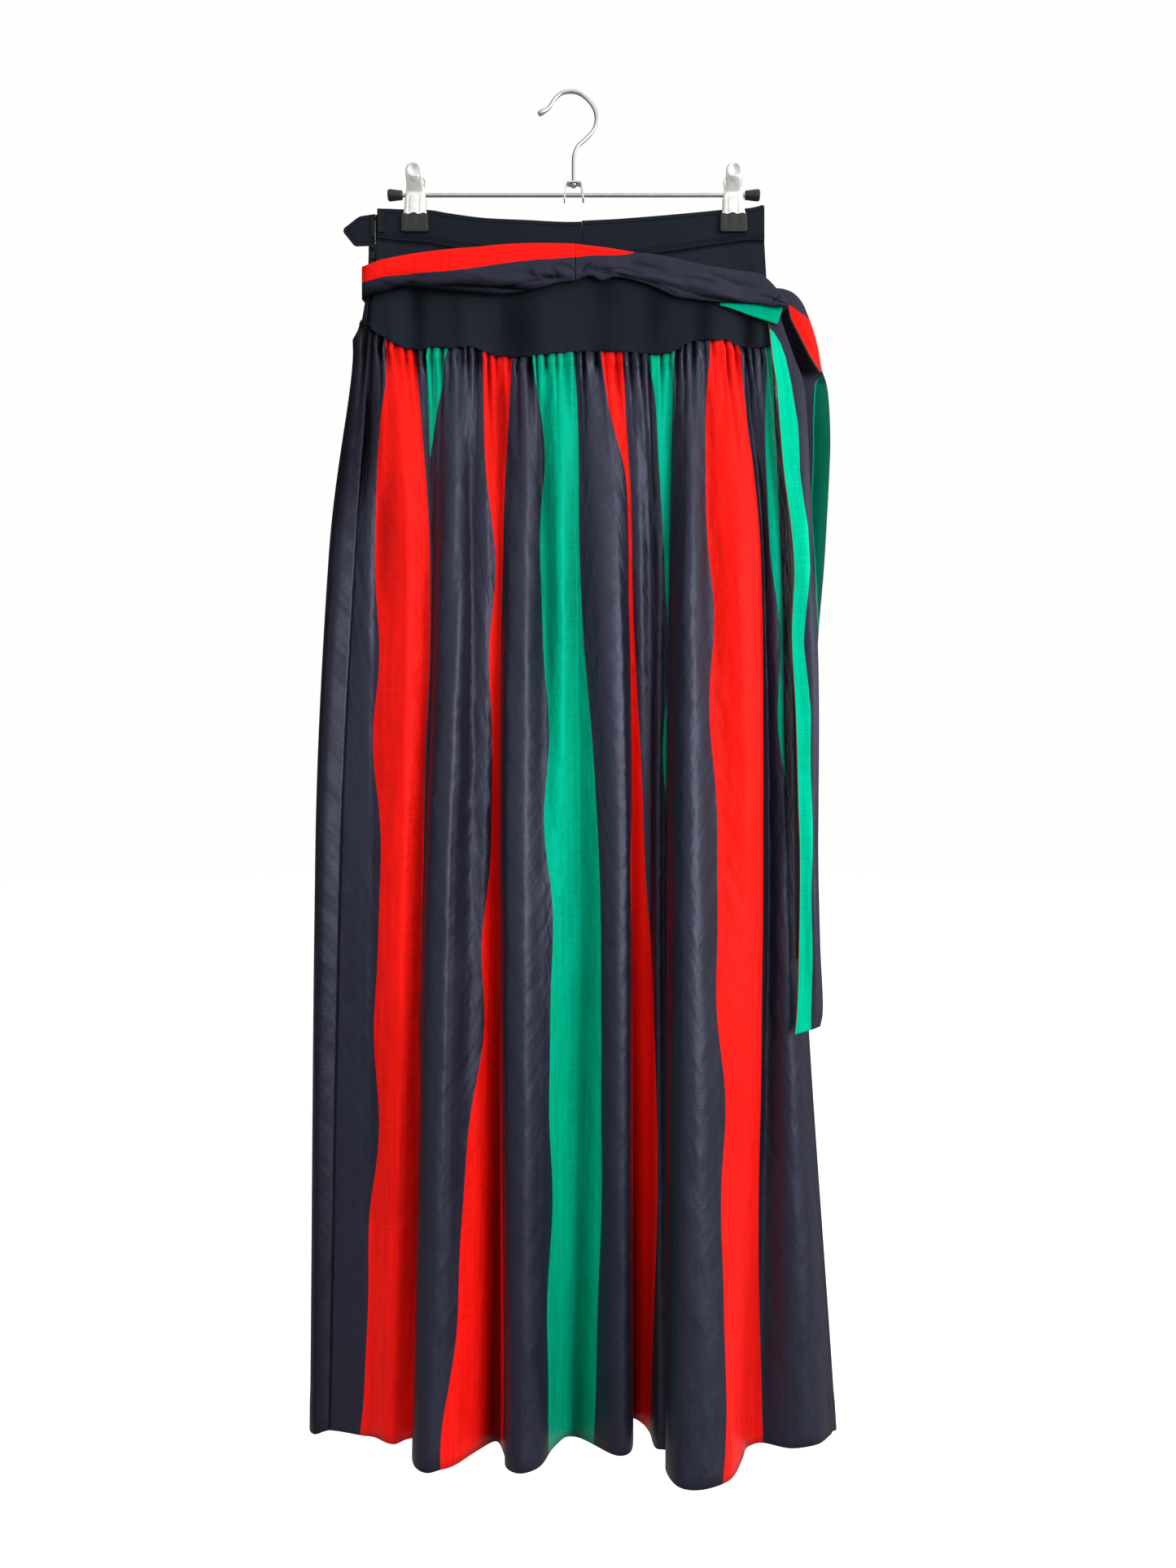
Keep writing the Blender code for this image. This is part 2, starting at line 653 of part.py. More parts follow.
def back_panel(rows, refine):
    """Middle surface of the back skirt panel, from the left seam round to the right one."""
    front = front_panel(rows, 1)
    share = np.asarray(rows, float) / PANEL_LENGTH
    table = np.array(BACK_FOLDS, float)
    x = eased(PANEL_LEVELS, table[:, 0:4].T, share)
    y = eased(PANEL_LEVELS, table[:, 4:8].T, share)
    left, right = front[:, 0], front[:, -1]
    x = np.column_stack([left[:, 0] - SIDE_GAP, x, right[:, 0] + SIDE_GAP])
    y = np.column_stack([left[:, 1], y, right[:, 1] + SIDE_GAP])
    lines = np.stack([x, y, 0 * y], axis=2).transpose(1, 0, 2)
    steps = [n * refine for n in gather_steps(x[0], BACK_GATHER_HALF_PITCH)]
    grid = across(lines, steps).transpose(1, 0, 2)
    return hung(grid, back_seam_at(grid[0, :, 0]) - SEAM_GAP, share)


def make_skirt_front():
    """Front skirt panel, gathered into the yoke."""
    below = np.asarray(FRONT_ROWS, float)
    grid = gathered(front_panel(below, 1), below, GATHER_DEPTH)
    return wall("skirt_front", grid, CLOTH_WALL, "navy_satin")


def make_skirt_back():
    """Back skirt panel, wrapping round the left side to the front panel's edge."""
    below = np.asarray(BACK_ROWS, float)
    grid = gathered(back_panel(below, 1), below, GATHER_DEPTH)
    return wall("skirt_back", grid, CLOTH_WALL, "navy_satin")


def band_grid(x, side, drop_top=0.0):
    """Waistband surface over the given stations; side is -1 for the front, 1 for the back."""
    station = band_at(x)
    shares = np.array((0.0, 0.5, 1.0))
    top = station[:, 0] + drop_top
    grid = np.zeros((len(shares), len(x), 3))
    for i, share in enumerate(shares):
        grid[i, :, 0] = x
        grid[i, :, 1] = -side * (station[:, 2] + (station[:, 3] - station[:, 2]) * share)
        grid[i, :, 2] = top + (station[:, 1] - top) * share
    return grid


def back_band_drop(x):
    """How much lower the back of the waistband hangs than its front at x."""
    return np.interp(x, (BAND[0][0], BACK_BAND_LEVEL_X), (BACK_BAND_DROP_LEFT, BACK_BAND_DROP))


def make_bands():
    """The two front halves of the waistband and its back."""
    left = np.linspace(BAND[0][0], BAND_SEAM_X - SEAM_GAP / 2, 17)
    right = np.linspace(BAND_SEAM_X + SEAM_GAP / 2, BAND[-1][0], 17)
    rise = BAND_SEAM_RISE * np.exp(-(right - BAND_SEAM_X) / BAND_RISE_LENGTH)
    wall("waistband_front_left", band_grid(left, -1), BAND_WALL, "navy_band")
    wall("waistband_front_right", band_grid(right, -1, rise), BAND_WALL, "navy_band")
    back = np.linspace(BACK_BAND_LEFT, BAND[-1][0], 28)
    inside = np.clip(back, BAND[0][0], None)
    grid = band_grid(inside, 1)
    grid[:, :, 0] = back
    grid[:, :, 2] -= back_band_drop(inside)
    wall("waistband_back", grid, BAND_WALL, "navy_band")


def yoke_front_grid(shares):
    """Front yoke surface between the waistband and the gathered seam."""
    cols_at = front_panel((0.0,), 1)[0, ::2]
    low_x = seen_x(cols_at)
    cols = len(low_x)
    part = (low_x - low_x[0]) / (low_x[-1] - low_x[0])
    high_x = YOKE_TOP_LEFT + (YOKE_TOP_RIGHT - YOKE_TOP_LEFT) * part
    station = band_at(np.clip(high_x, BAND[0][0], BAND[-1][0]))
    seam = yoke_seam_at(low_x)
    grid = np.zeros((len(shares), cols, 3))
    for i, share in enumerate(shares):
        open_up = share * share * (3 - 2 * share)
        y = station[:, 3] + (seam[:, 1] - station[:, 3]) * open_up
        x = high_x + (low_x - high_x) * share
        top = station[:, 1] - BAND_GAP
        grid[i, :, 0] = EYE_X + (x - EYE_X) * (1 + y / EYE_DISTANCE)
        grid[i, :, 1] = y
        grid[i, :, 2] = top + (seam[:, 0] - top) * share
    return grid


def yoke_back_grid(steps, shares):
    """Back yoke surface, from the zip round the left side and along the back."""
    table = np.array(YOKE_BACK)
    lines = np.zeros((len(table), len(shares), 3))
    for i, share in enumerate(shares):
        widen = share ** table[:, 4]
        lines[:, i, 0] = table[:, 0] + (table[:, 2] - table[:, 0]) * widen
        lines[:, i, 1] = table[:, 1] + (table[:, 3] - table[:, 1]) * share
    grid = across(lines, [steps] * (len(table) - 1)).transpose(1, 0, 2)
    inside = np.clip(grid[0, :, 0], BAND[0][0], BAND[-1][0])
    top = band_at(inside)[:, 1] - back_band_drop(inside) - BAND_GAP
    top -= np.interp(grid[0, :, 0], YOKE_CORNER_X, (YOKE_CORNER_DROP, 0.0))
    low = back_seam_at(grid[-1, :, 0]) + SEAM_GAP
    for i, share in enumerate(shares):
        grid[i, :, 2] = top + (low - top) * share
    return grid


def make_yokes():
    """Front and back yoke."""
    front = yoke_front_grid((0.0, 0.25, 0.5, 0.75, 1.0))
    wall("yoke_front", front, CLOTH_WALL, "yoke_black")
    back = yoke_back_grid(2, (0.0, 0.3, 0.6, 0.85, 1.0))
    wall("yoke_back", back, CLOTH_WALL, "yoke_black")


def sash_grid(table, shares, steps, true_place=False):
    """Sash surface from a table of x, top z, bottom z and depth, with its soft lengthwise rolls."""
    rows = np.array(table, float)
    lines = np.zeros((len(rows), len(shares), 3))
    for i, share in enumerate(shares):
        z = rows[:, 1] + (rows[:, 2] - rows[:, 1]) * share
        for k, (x, _, _, y) in enumerate(rows):
            lines[k, i] = (x, y, z[k]) if true_place else seen(x, z[k], y)
    return across(lines, [steps] * (len(rows) - 1)).transpose(1, 0, 2)


def rolled(grid, height):
    """The grid with a fuller lower edge and a shallow lengthwise dip, faded out at its two ends."""
    rows, cols = grid.shape[:2]
    share = np.linspace(0, 1, rows)[:, None]
    along = np.linspace(0, 1, cols)[None, :]
    fade = np.minimum(np.minimum(along, 1 - along) * 8.0, 1.0)
    dip = np.sin(share * math.pi * 2.0 + 2.2 * np.sin(along * 7.0))
    shaped = grid.copy()
    shaped[:, :, 1] -= height * (0.5 + 0.5 * dip) * fade
    return shaped


def make_sash():
    """The tie sash: two front lengths, back, turned-under layer and knot."""
    split = [row[0] for row in SASH_FRONT].index(SASH_SEAM_X)
    left = [list(row) for row in SASH_FRONT[: split + 1]]
    right = [list(row) for row in SASH_FRONT[split:]]
    left[-1][0] -= SEAM_GAP / 2
    right[0][0] += SEAM_GAP / 2
    shares = (0.0, 0.2, 0.4, 0.6, 0.8, 1.0)
    for name, table in (("sash_front_left", left), ("sash_front_right", right)):
        wall(name, rolled(sash_grid(table, shares, 1), SASH_ROLL_HEIGHT), SASH_WALL, "sash_navy")
    back = sash_grid(SASH_BACK, (0.0, 0.33, 0.67, 1.0), 2, true_place=True)
    wall("sash_back", back, SASH_WALL, "sash_navy")
    under = sash_grid(SASH_UNDER, (0.0, 0.5, 1.0), 1)
    wall("sash_under", under, SASH_UNDER_WALL, "tail_green")
    make_knot()


def make_knot():
    """The knot, a small full lump with a soft waist."""
    work = bmesh.new()
    bmesh.ops.create_uvsphere(work, u_segments=14, v_segments=9, radius=1.0)
    for vert in work.verts:
        x, y, z = vert.co
        pinch = 1.0 - KNOT_WAIST_SHARE * math.exp(-((z - KNOT_WAIST_AT) ** 2) / 0.05)
        vert.co = (
            (KNOT_CENTRE[0] + math.copysign(abs(x) ** 0.8, x) * KNOT_HALF_SIZE[0] * pinch) * MM,
            (KNOT_CENTRE[1] + y * KNOT_HALF_SIZE[1] * pinch) * MM,
            (KNOT_CENTRE[2] + math.copysign(abs(z) ** 0.85, z) * KNOT_HALF_SIZE[2]) * MM,
        )
    finish(work, "sash_knot", "sash_navy")


def finish(work, name, colour, rounded=True):
    """Closes a bmesh into a named object."""
    bmesh.ops.recalc_face_normals(work, faces=work.faces)
    mesh = bpy.data.meshes.new(name)
    work.to_mesh(mesh)
    work.free()
    for polygon in mesh.polygons:
        polygon.use_smooth = rounded
    mesh.materials.append(material(colour))
    made = bpy.data.objects.new(name, mesh)
    bpy.context.collection.objects.link(made)
    return made


def tail_grid(table, refine):
    """A hanging end between its two edges, with a soft fold along its middle."""
    rows = np.array(table, float)
    left = np.array([seen(r[0], r[1], r[4]) for r in rows])
    right = np.array([seen(r[2], r[3], r[4]) for r in rows])
    edges = across(np.stack([left, right], axis=1), [refine] * (len(rows) - 1))
    shares = np.linspace(0, 1, 5)
    depth = TAIL_FULLNESS * np.sin(shares * math.pi) - TAIL_TWIST * np.sin(shares * 2 * math.pi)
    opened = np.clip(np.arange(len(edges)) / refine / TAIL_OPENING_ROWS, 0.15, 1.0)
    grid = edges[:, :1] + (edges[:, 1:] - edges[:, :1]) * shares[None, :, None]
    grid[:, :, 1] -= depth[None, :] * opened[:, None]
    return grid


def make_tails():
    """The sash's two hanging ends."""
    wall("tail_front", tail_grid(TAIL_FRONT, 1), TAIL_WALL, "tail_green")
    wall("tail_rear", tail_grid(TAIL_REAR, 1), TAIL_WALL, "tail_navy")


def slab(name, outline, low_y, high_y, colour, turn=0.0, pivot=0.0):
    """A flat piece with an outline in X and Z; turn shears its depth with x."""
    points = []
    for y in (low_y, high_y):
        points += [(x, y + turn * (x - pivot), z) for x, z in outline]
    n = len(outline)
    faces = [tuple(range(n)), tuple(range(2 * n - 1, n - 1, -1))]
    for i in range(n):
        k = (i + 1) % n
        faces.append((i, n + i, n + k, k))
    return body(name, points, faces, colour, rounded=False)


def make_tab():
    """The waistband's pointed tab at the side opening."""
    low, high = TAB_DEPTH - BAND_WALL / 2, TAB_DEPTH + BAND_WALL / 2
    slab("waist_tab", TAB_OUTLINE, low, high, "navy_band", TAB_TURN, TAB_OUTLINE[4][0])


def rounded_box(name, centre, size, bevel, colour, segments=2):
    """A box with rounded edges."""
    work = bmesh.new()
    bmesh.ops.create_cube(work, size=1.0)
    for vert in work.verts:
        vert.co = [(c + s * v) * MM for c, s, v in zip(centre, size, vert.co)]
    bmesh.ops.bevel(
        work,
        geom=work.edges[:],
        offset=bevel * MM,
        segments=segments,
        affect="EDGES",
        profile=0.5,
    )
    return finish(work, name, colour)


def make_zip():
    """Zip tape behind the side opening, slider, pull tab and top stop."""
    heights = np.array(TAPE_HEIGHTS)
    yoke = yoke_front_grid(np.linspace(0, 1, 21))[:, 0]
    skirt = front_panel(FRONT_ROWS, 1)[:, 0]
    edge = np.concatenate([yoke[:-1], skirt])[::-1]
    x = np.interp(heights, edge[:, 2], edge[:, 0])
    y = np.interp(heights, edge[:, 2], edge[:, 1]) + TAPE_BEHIND
    shift = np.interp(heights, TAPE_SHIFT_Z, (0.0, TAPE_SHIFT))
    grid = np.zeros((len(heights), 3, 3))
    for k, side in enumerate((-0.5, 0.0, 0.5)):
        grid[:, k, 0] = x + shift + side * TAPE_WIDTH
        grid[:, k, 1] = y
        grid[:, k, 2] = heights
    wall("zip_tape", grid, TAPE_WALL, "zip_black")
    rounded_box("zip_slider", SLIDER_CENTRE, SLIDER_SIZE, SLIDER_BEVEL, "dull_metal")
    rounded_box("zip_pull", PULL_CENTRE, PULL_SIZE, PULL_BEVEL, "dull_metal", 1)
    rounded_box("zip_stop", STOP_CENTRE, STOP_SIZE, STOP_BEVEL, "dull_metal", 1)


def make_fastener():
    """The flat plate on the band's end and the catch on the tab."""
    rounded_box("fastener_plate", PLATE_CENTRE, PLATE_SIZE, PLATE_BEVEL, "dull_metal", 1)
    rounded_box("fastener_bar", CATCH_CENTRE, CATCH_SIZE, CATCH_BEVEL, "dull_metal", 2)


def jaw_grid(side, middle_x, cols):
    """One pressed-sheet jaw; side is -1 for the front one, 1 for the back one."""
    table = np.array(JAW)
    grid = np.zeros((len(table), cols, 3))
    across_width = np.linspace(-1, 1, cols)
    for i, (z, half, out, rib) in enumerate(table):
        groove = np.abs(np.abs(across_width) - JAW_GROOVE_SHARE) < JAW_GROOVE_HALF_SHARE
        form = np.where(groove, -rib * 0.5, rib) if rib > 0 else rib * (1 - across_width**2)
        grid[i, :, 0] = middle_x + across_width * half
        grid[i, :, 1] = side * (out + form - JAW_EDGE_TURN * across_width**4)
        grid[i, :, 2] = z
    return grid if side < 0 else grid[:, ::-1]


def make_pad(name, side, middle_x):
    """One rubber pad, wider at its foot."""
    work = bmesh.new()
    bmesh.ops.create_cube(work, size=1.0)
    height = PAD_TOP_Z - PAD_BOTTOM_Z
    for vert in work.verts:
        x, y, z = vert.co
        half = PAD_HALF_WIDTH_TOP if z > 0 else PAD_HALF_WIDTH_BOTTOM
        vert.co = (
            (middle_x + 2 * x * half) * MM,
            side * (PAD_INNER_Y + PAD_THICKNESS * (0.5 + y)) * MM,
            (PAD_BOTTOM_Z + height * (0.5 + z)) * MM,
        )
    upright = [e for e in work.edges if abs(e.verts[0].co.y - e.verts[1].co.y) > 1e-4]
    bmesh.ops.bevel(work, geom=upright, offset=PAD_CORNER * MM, segments=3, affect="EDGES", profile=0.5)
    finish(work, name, "black_rubber", rounded=False)


def make_clips():
    """Two spring clips, each of two jaws and two pads."""
    for place, middle_x in (("left", LEFT_CLIP_X), ("right", RIGHT_CLIP_X)):
        front = jaw_grid(-1, middle_x, 9)
        back = jaw_grid(1, middle_x, 5)
        wall(f"clip_{place}_front_jaw", front, JAW_SHEET, "bright_steel")
        wall(f"clip_{place}_back_jaw", back, JAW_SHEET, "bright_steel")
        make_pad(f"clip_{place}_front_pad", -1, middle_x)
        make_pad(f"clip_{place}_back_pad", 1, middle_x)


def rod(name, path, sides, colour):
    """A round rod along x, z and radius stations in the plane Y = 0, closed at both ends."""
    path = np.array(path, float)
    middle = path[:, :2]
    tangent = np.gradient(middle, axis=0)
    tangent /= np.linalg.norm(tangent, axis=1, keepdims=True)
    points, faces = [], []
    for (x, z, radius), (tx, tz) in zip(path, tangent):
        for k in range(sides):
            angle = 2 * math.pi * k / sides
            flat, out = math.cos(angle) * radius, math.sin(angle) * radius
            points.append((x - tz * flat, out, z + tx * flat))
    n = len(path)
    for i in range(n - 1):
        for k in range(sides):
            m = (k + 1) % sides
            faces.append((i * sides + k, i * sides + m, (i + 1) * sides + m, (i + 1) * sides + k))
    faces.append(tuple(range(sides - 1, -1, -1)))
    faces.append(tuple((n - 1) * sides + k for k in range(sides)))
    return body(name, points, faces, colour)


def make_hook():
    """The swivel hook with its round tip and the headed end of its stem."""
    table = np.array(HOOK)
    lines = table[:, None, :]
    fine = across(lines, [2] * (len(table) - 1))[:, 0]
    start = fine[0]
    toward = (fine[0, :2] - fine[1, :2]) / np.linalg.norm(fine[0, :2] - fine[1, :2])
    tip = [(*(start[:2] + toward * along), radius) for along, radius in HOOK_TIP]
    head = [(STEM_X, z, radius) for z, radius in STEM_HEAD]
    rod("hanger_hook", tip + [tuple(p) for p in fine] + head, 8, "bright_steel")


def cutter(name, radius, depth, location, turn):
    """A hidden cylinder for a drilled hole."""
    bpy.ops.mesh.primitive_cylinder_add(
        vertices=20,
        radius=radius * MM,
        depth=depth * MM,
        location=[c * MM for c in location],
        rotation=turn,
    )
    made = bpy.context.object
    made.name = name
    made.hide_render = True
    made.display_type = "WIRE"
    return made


def drill(made, tool):
    """Cuts a hole with the tool when the object is evaluated."""
    cut = made.modifiers.new(tool.name, "BOOLEAN")
    cut.operation = "DIFFERENCE"
    cut.solver = "EXACT"
    cut.object = tool


def make_stirrup():
    """The bent strip that joins the hook to the bar, drilled for both."""
    top, low, t = STIRRUP_TOP_Z, STIRRUP_BOTTOM_Z, STIRRUP_THICKNESS
    a, b = STIRRUP_HALF_TOP, STIRRUP_HALF_BOTTOM
    out, rise, drop = STIRRUP_BEND
    outer = [(-b, low), (-a - out, top - drop), (-a + rise, top)]
    outer += [(-x, z) for x, z in reversed(outer)]
    out, rise, drop = STIRRUP_INNER_BEND
    inner = [(b - t, low), (a + out - t, top - drop), (a - rise, top - t)]
    inner += [(-x, z) for x, z in reversed(inner)]
    outline = [(STEM_X + x, z) for x, z in outer + inner]
    half = STIRRUP_DEPTH / 2
    made = slab("hanger_stirrup", outline, -half, half, "bright_steel")
    bar_hole = cutter("bar_hole", BAR_RADIUS + FIT, 40, (STEM_X, 0, BAR_Z), (0, math.pi / 2, 0))
    stem_hole = cutter("stem_hole", WIRE_RADIUS + FIT, 8, (STEM_X, 0, top), (0, 0, 0))
    drill(made, bar_hole)
    drill(made, stem_hole)


def turned(name, profile, sides, colour):
    """A solid of revolution about the bar's axis, from a closed profile of x and radius."""
    points, faces = [], []
    for x, radius in profile:
        for k in range(sides):
            angle = 2 * math.pi * k / sides
            points.append((x, math.cos(angle) * radius, BAR_Z + math.sin(angle) * radius))
    n = len(profile)
    for i in range(n - 1):
        for k in range(sides):
            m = (k + 1) % sides
            faces.append((i * sides + k, i * sides + m, (i + 1) * sides + m, (i + 1) * sides + k))
    faces.append(tuple(range(sides)))
    faces.append(tuple((n - 1) * sides + k for k in range(sides)))
    return body(name, points, faces, colour)


def make_cap(name, bar_end, outward):
    """A rubber cap over a bar end; outward is -1 to the left and 1 to the right."""
    mouth = bar_end - outward * CAP_GRIP
    bore = BAR_RADIUS + FIT
    steps = ((CAP_GRIP + FIT, bore), (0.0, bore), *CAP_PROFILE)
    turned(name, [(mouth + outward * along, radius) for along, radius in steps], 16, "black_rubber")


def make_bar():
    """The straight bar and its end caps."""
    turned("hanger_bar", [(BAR_LEFT, BAR_RADIUS), (BAR_RIGHT, BAR_RADIUS)], 14, "bright_steel")
    make_cap("cap_left", BAR_LEFT, -1)
    make_cap("cap_right", BAR_RIGHT, 1)


def clear_all():
    """Empties the file."""
    for old in list(bpy.data.objects):
        bpy.data.objects.remove(old)


def main():
    """Builds every sub-part."""
    clear_all()
    make_skirt_front()
    make_skirt_back()
    make_yokes()
    make_bands()
    make_tab()
    make_fastener()
    make_zip()
    make_sash()
    make_tails()
    make_hook()
    make_stirrup()
    make_bar()
    make_clips()


main()
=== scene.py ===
"""Looks of a long gathered skirt with a hip yoke and tie sash, hung on a steel clip hanger.

Sizes are in millimetres. +X is to the viewer's right, +Z up, and the viewer stands at -Y. A table of
seen places gives X and Z as seen from the eye point, with true depth Y.
"""

import math

import bpy
import numpy as np
from bpy.props import FloatProperty, FloatVectorProperty, PointerProperty
from bpy.types import Operator, Panel, PropertyGroup
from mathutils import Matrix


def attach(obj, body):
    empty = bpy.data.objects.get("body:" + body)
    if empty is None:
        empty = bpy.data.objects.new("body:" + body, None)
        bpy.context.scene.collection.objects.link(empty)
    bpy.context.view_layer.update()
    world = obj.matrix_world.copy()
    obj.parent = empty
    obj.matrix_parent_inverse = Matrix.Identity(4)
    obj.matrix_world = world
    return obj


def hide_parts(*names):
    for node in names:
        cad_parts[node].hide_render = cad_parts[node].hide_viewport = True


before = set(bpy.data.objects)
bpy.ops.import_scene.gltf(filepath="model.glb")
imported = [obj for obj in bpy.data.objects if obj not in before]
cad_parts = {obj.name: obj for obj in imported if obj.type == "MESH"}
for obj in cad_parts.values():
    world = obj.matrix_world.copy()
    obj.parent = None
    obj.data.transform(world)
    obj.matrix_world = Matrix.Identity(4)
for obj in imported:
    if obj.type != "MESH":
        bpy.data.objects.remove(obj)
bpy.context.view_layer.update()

bl_info = {
    "name": "Gathered skirt on a clip hanger",
    "version": (1, 0, 0),
    "blender": (4, 5, 0),
    "location": "3D View > Sidebar > Skirt",
    "description": "Cloth, trims, hanger and studio of a long striped skirt",
    "category": "Object",
}

MM = 0.001

# Eye point from which the fold widths were read, and the camera's lens there
EYE_X = 14.6
EYE_DISTANCE = 1000.0
EYE_Z = -577.0
LENS = 27.47

# Direction that most of the room's light comes from
ROOM_LIGHT_FROM = (0.66, -0.60, 0.45)

# Seams: gaps between pieces that meet edge to edge, and how the back panel laps behind the front one
GATHER_GAP = 0.55
SEAM_GAP = 0.06
BACK_SEAM_GAP = 0.3
BAND_GAP = 0.12
SIDE_LAP = 0.6
SIDE_BEHIND = 0.75

# Skirt panel
HEM_Z = -1116.7
PANEL_LEVELS = (0.0, 0.2035, 0.467, 1.0)
PANEL_LENGTH = 905.0
GATHER_HALF_PITCH = 3.9
BACK_GATHER_HALF_PITCH = 6.4
GATHER_PEAK_BELOW_SEAM = 9.0
HEM_TURN = 26.0

# Rows of both panels above the seam, and how far they go in behind the yoke
TUCKED_ROWS = (-6.0, -3.0)
TUCK = 1.3

# Columns that each step between two fold lines is divided into
REFINE = 4

# Hanger
BAR_Z = -85.0
BAR_RADIUS = 1.7
BAR_LEFT = -150.3
BAR_RIGHT = 155.8
WIRE_RADIUS = 1.7
FIT = 0.3
LEFT_CLIP_X = -129.4
RIGHT_CLIP_X = 135.9
JAW_SHEET = 0.8
PAD_INNER_Y = 2.05
PAD_WIDTH = 22.4
PAD_HALF_FOOT = 11.4
PAD_CORNER = 2.2
PAD_RIM_WIDTH = 0.55
PAD_RIM_SHARE = 0.28
PAD_THICKNESS = 3.1
PAD_TOP_Z = -102.6
PAD_BOTTOM_Z = -117.2

# Waistband stations: x, top z, bottom z, front depth at the top, front depth at the bottom
BAND = (
    (-161.2, -96.1, -121.4, -1.9, -2.6),
    (-150, -96.4, -122.8, -1.4, -1.8),
    (-141, -96.8, -123.8, -1, -1.1),
    (-129.5, -97.1, -124.7, -1, -1.1),
    (-118, -97.4, -125.6, -1, -1.1),
    (-102, -100, -128.7, -2.6, -3.4),
    (-68.7, -104.2, -133.5, -4.4, -5),
    (-38.1, -105.6, -137, -4.8, -5.2),
    (-0.7, -107.3, -139, -4.8, -5.2),
    (30, -105.8, -138, -4.8, -5.2),
    (58.5, -103.6, -135.6, -4.6, -5),
    (87.7, -101, -132.1, -4, -4.8),
    (110, -98.9, -128.6, -2.4, -3.2),
    (124, -97.5, -126.6, -1, -1.1),
    (136, -96.7, -124.9, -1, -1.1),
    (148, -95.9, -123.4, -1, -1.1),
    (156, -94.4, -123.6, -1, -1.1),
    (160.6, -93.2, -124, -1, -1.05),
    (161.8, -94.4, -124, -1, -1.05),
)
BAND_SEAM_X = 9.6

# Rows down the waistband: below its top edge, as shares of the height between, and above its lower edge
BAND_TOP_ROWS = (0.0, 0.5, 1.4, 2.6, 3.8, 5.0)
BAND_MIDDLE_ROWS = (0.17, 0.34, 0.5, 0.66, 0.83)
BAND_LOW_ROWS = (7.6, 6.4, 5.2, 4.2, 3.2, 2.0, 0.8, 0.0)

# Stitched lines: below the band's top edge, above its lower edge, and inside the tab's edge
TOP_LINE = 3.8
LOW_LINE = 5.2
LOWER_LINE = 3.2
TAB_LINE = 3.2
BAND_LINES = ("stitch", "stitch_low", "stitch_lower")

# Lower edge of the front yoke: x, z, depth
YOKE_SEAM = (
    (-167.3, -197.4, -3.6),
    (-155.7, -204.2, -6.4),
    (-150, -208, -7.4),
    (-138, -213, -5.6),
    (-127.2, -215.1, -2.6),
    (-115.6, -212.4, -3.6),
    (-102, -213, -6.4),
    (-92, -212.2, -7.4),
    (-83.6, -211.7, -6.6),
    (-74.1, -215.1, -4.4),
    (-62, -219.9, -2.6),
    (-50, -220.3, -4.4),
    (-38.1, -220.5, -6.6),
    (-28, -219, -7.4),
    (-0.7, -216.4, -5.4),
    (25.8, -215.8, -4.8),
    (44.9, -216.4, -5.4),
    (72.8, -218.5, -5.4),
    (87.7, -215.8, -6.6),
    (96.6, -209, -7.6),
    (112.9, -206.2, -7.8),
    (127.8, -206.2, -6),
    (138, -210.3, -3.6),
    (146.9, -213, -2.2),
    (156, -212.5, -3.8),
    (165.9, -211.7, -1),
)
YOKE_TOP_LEFT = -162.5
YOKE_TOP_RIGHT = 161.8

# Shadowed hollows of the front yoke: seen x, half width, depth of the shadow
YOKE_SHADOWS = (
    (-127.5, 7, 0.75),
    (-95, 9, 0.2),
    (-42, 16, 0.6),
    (29.7, 14, 0.4),
    (72, 12, 0.5),
    (112, 9, 0.6),
    (149, 6, 0.7),
)

# Lower edge of the back yoke: x, z
BACK_SEAM = ((-180, -196), (-170, -198), (-150, -208), (0, -211), (150, -211), (167, -211.7))

# Back yoke, from its edge at the zip round the left side and along the back:
# top x, top y, bottom x, bottom y, how late it widens downward
YOKE_BACK = (
    (-165.4, -1.6, -170.2, -3.4, 1),
    (-168.4, 0.6, -175.8, 0.6, 2.2),
    (-166, 3, -172.8, 5.4, 2.2),
    (-156, 2.6, -163, 7, 1.5),
    (-144, 1.2, -150, 7.6, 1),
    (-130, 1.1, -131, 5, 1),
    (-116, 1.2, -112, 5, 1),
    (-100, 3.6, -92, 7.6, 1),
    (-70, 5, -66, 5.4, 1),
    (-40, 5.2, -40, 7.6, 1),
    (-5, 5.2, -5, 5.6, 1),
    (30, 5.2, 30, 7.8, 1),
    (65, 5, 62, 5.6, 1),
    (95, 4.4, 95, 7.8, 1),
    (122, 1.2, 120, 5.6, 1),
    (148, 1.1, 145, 6.8, 1),
    (157, 1.1, 160, 5, 1),
    (161.8, 1.05, 166.6, 1, 1),
)

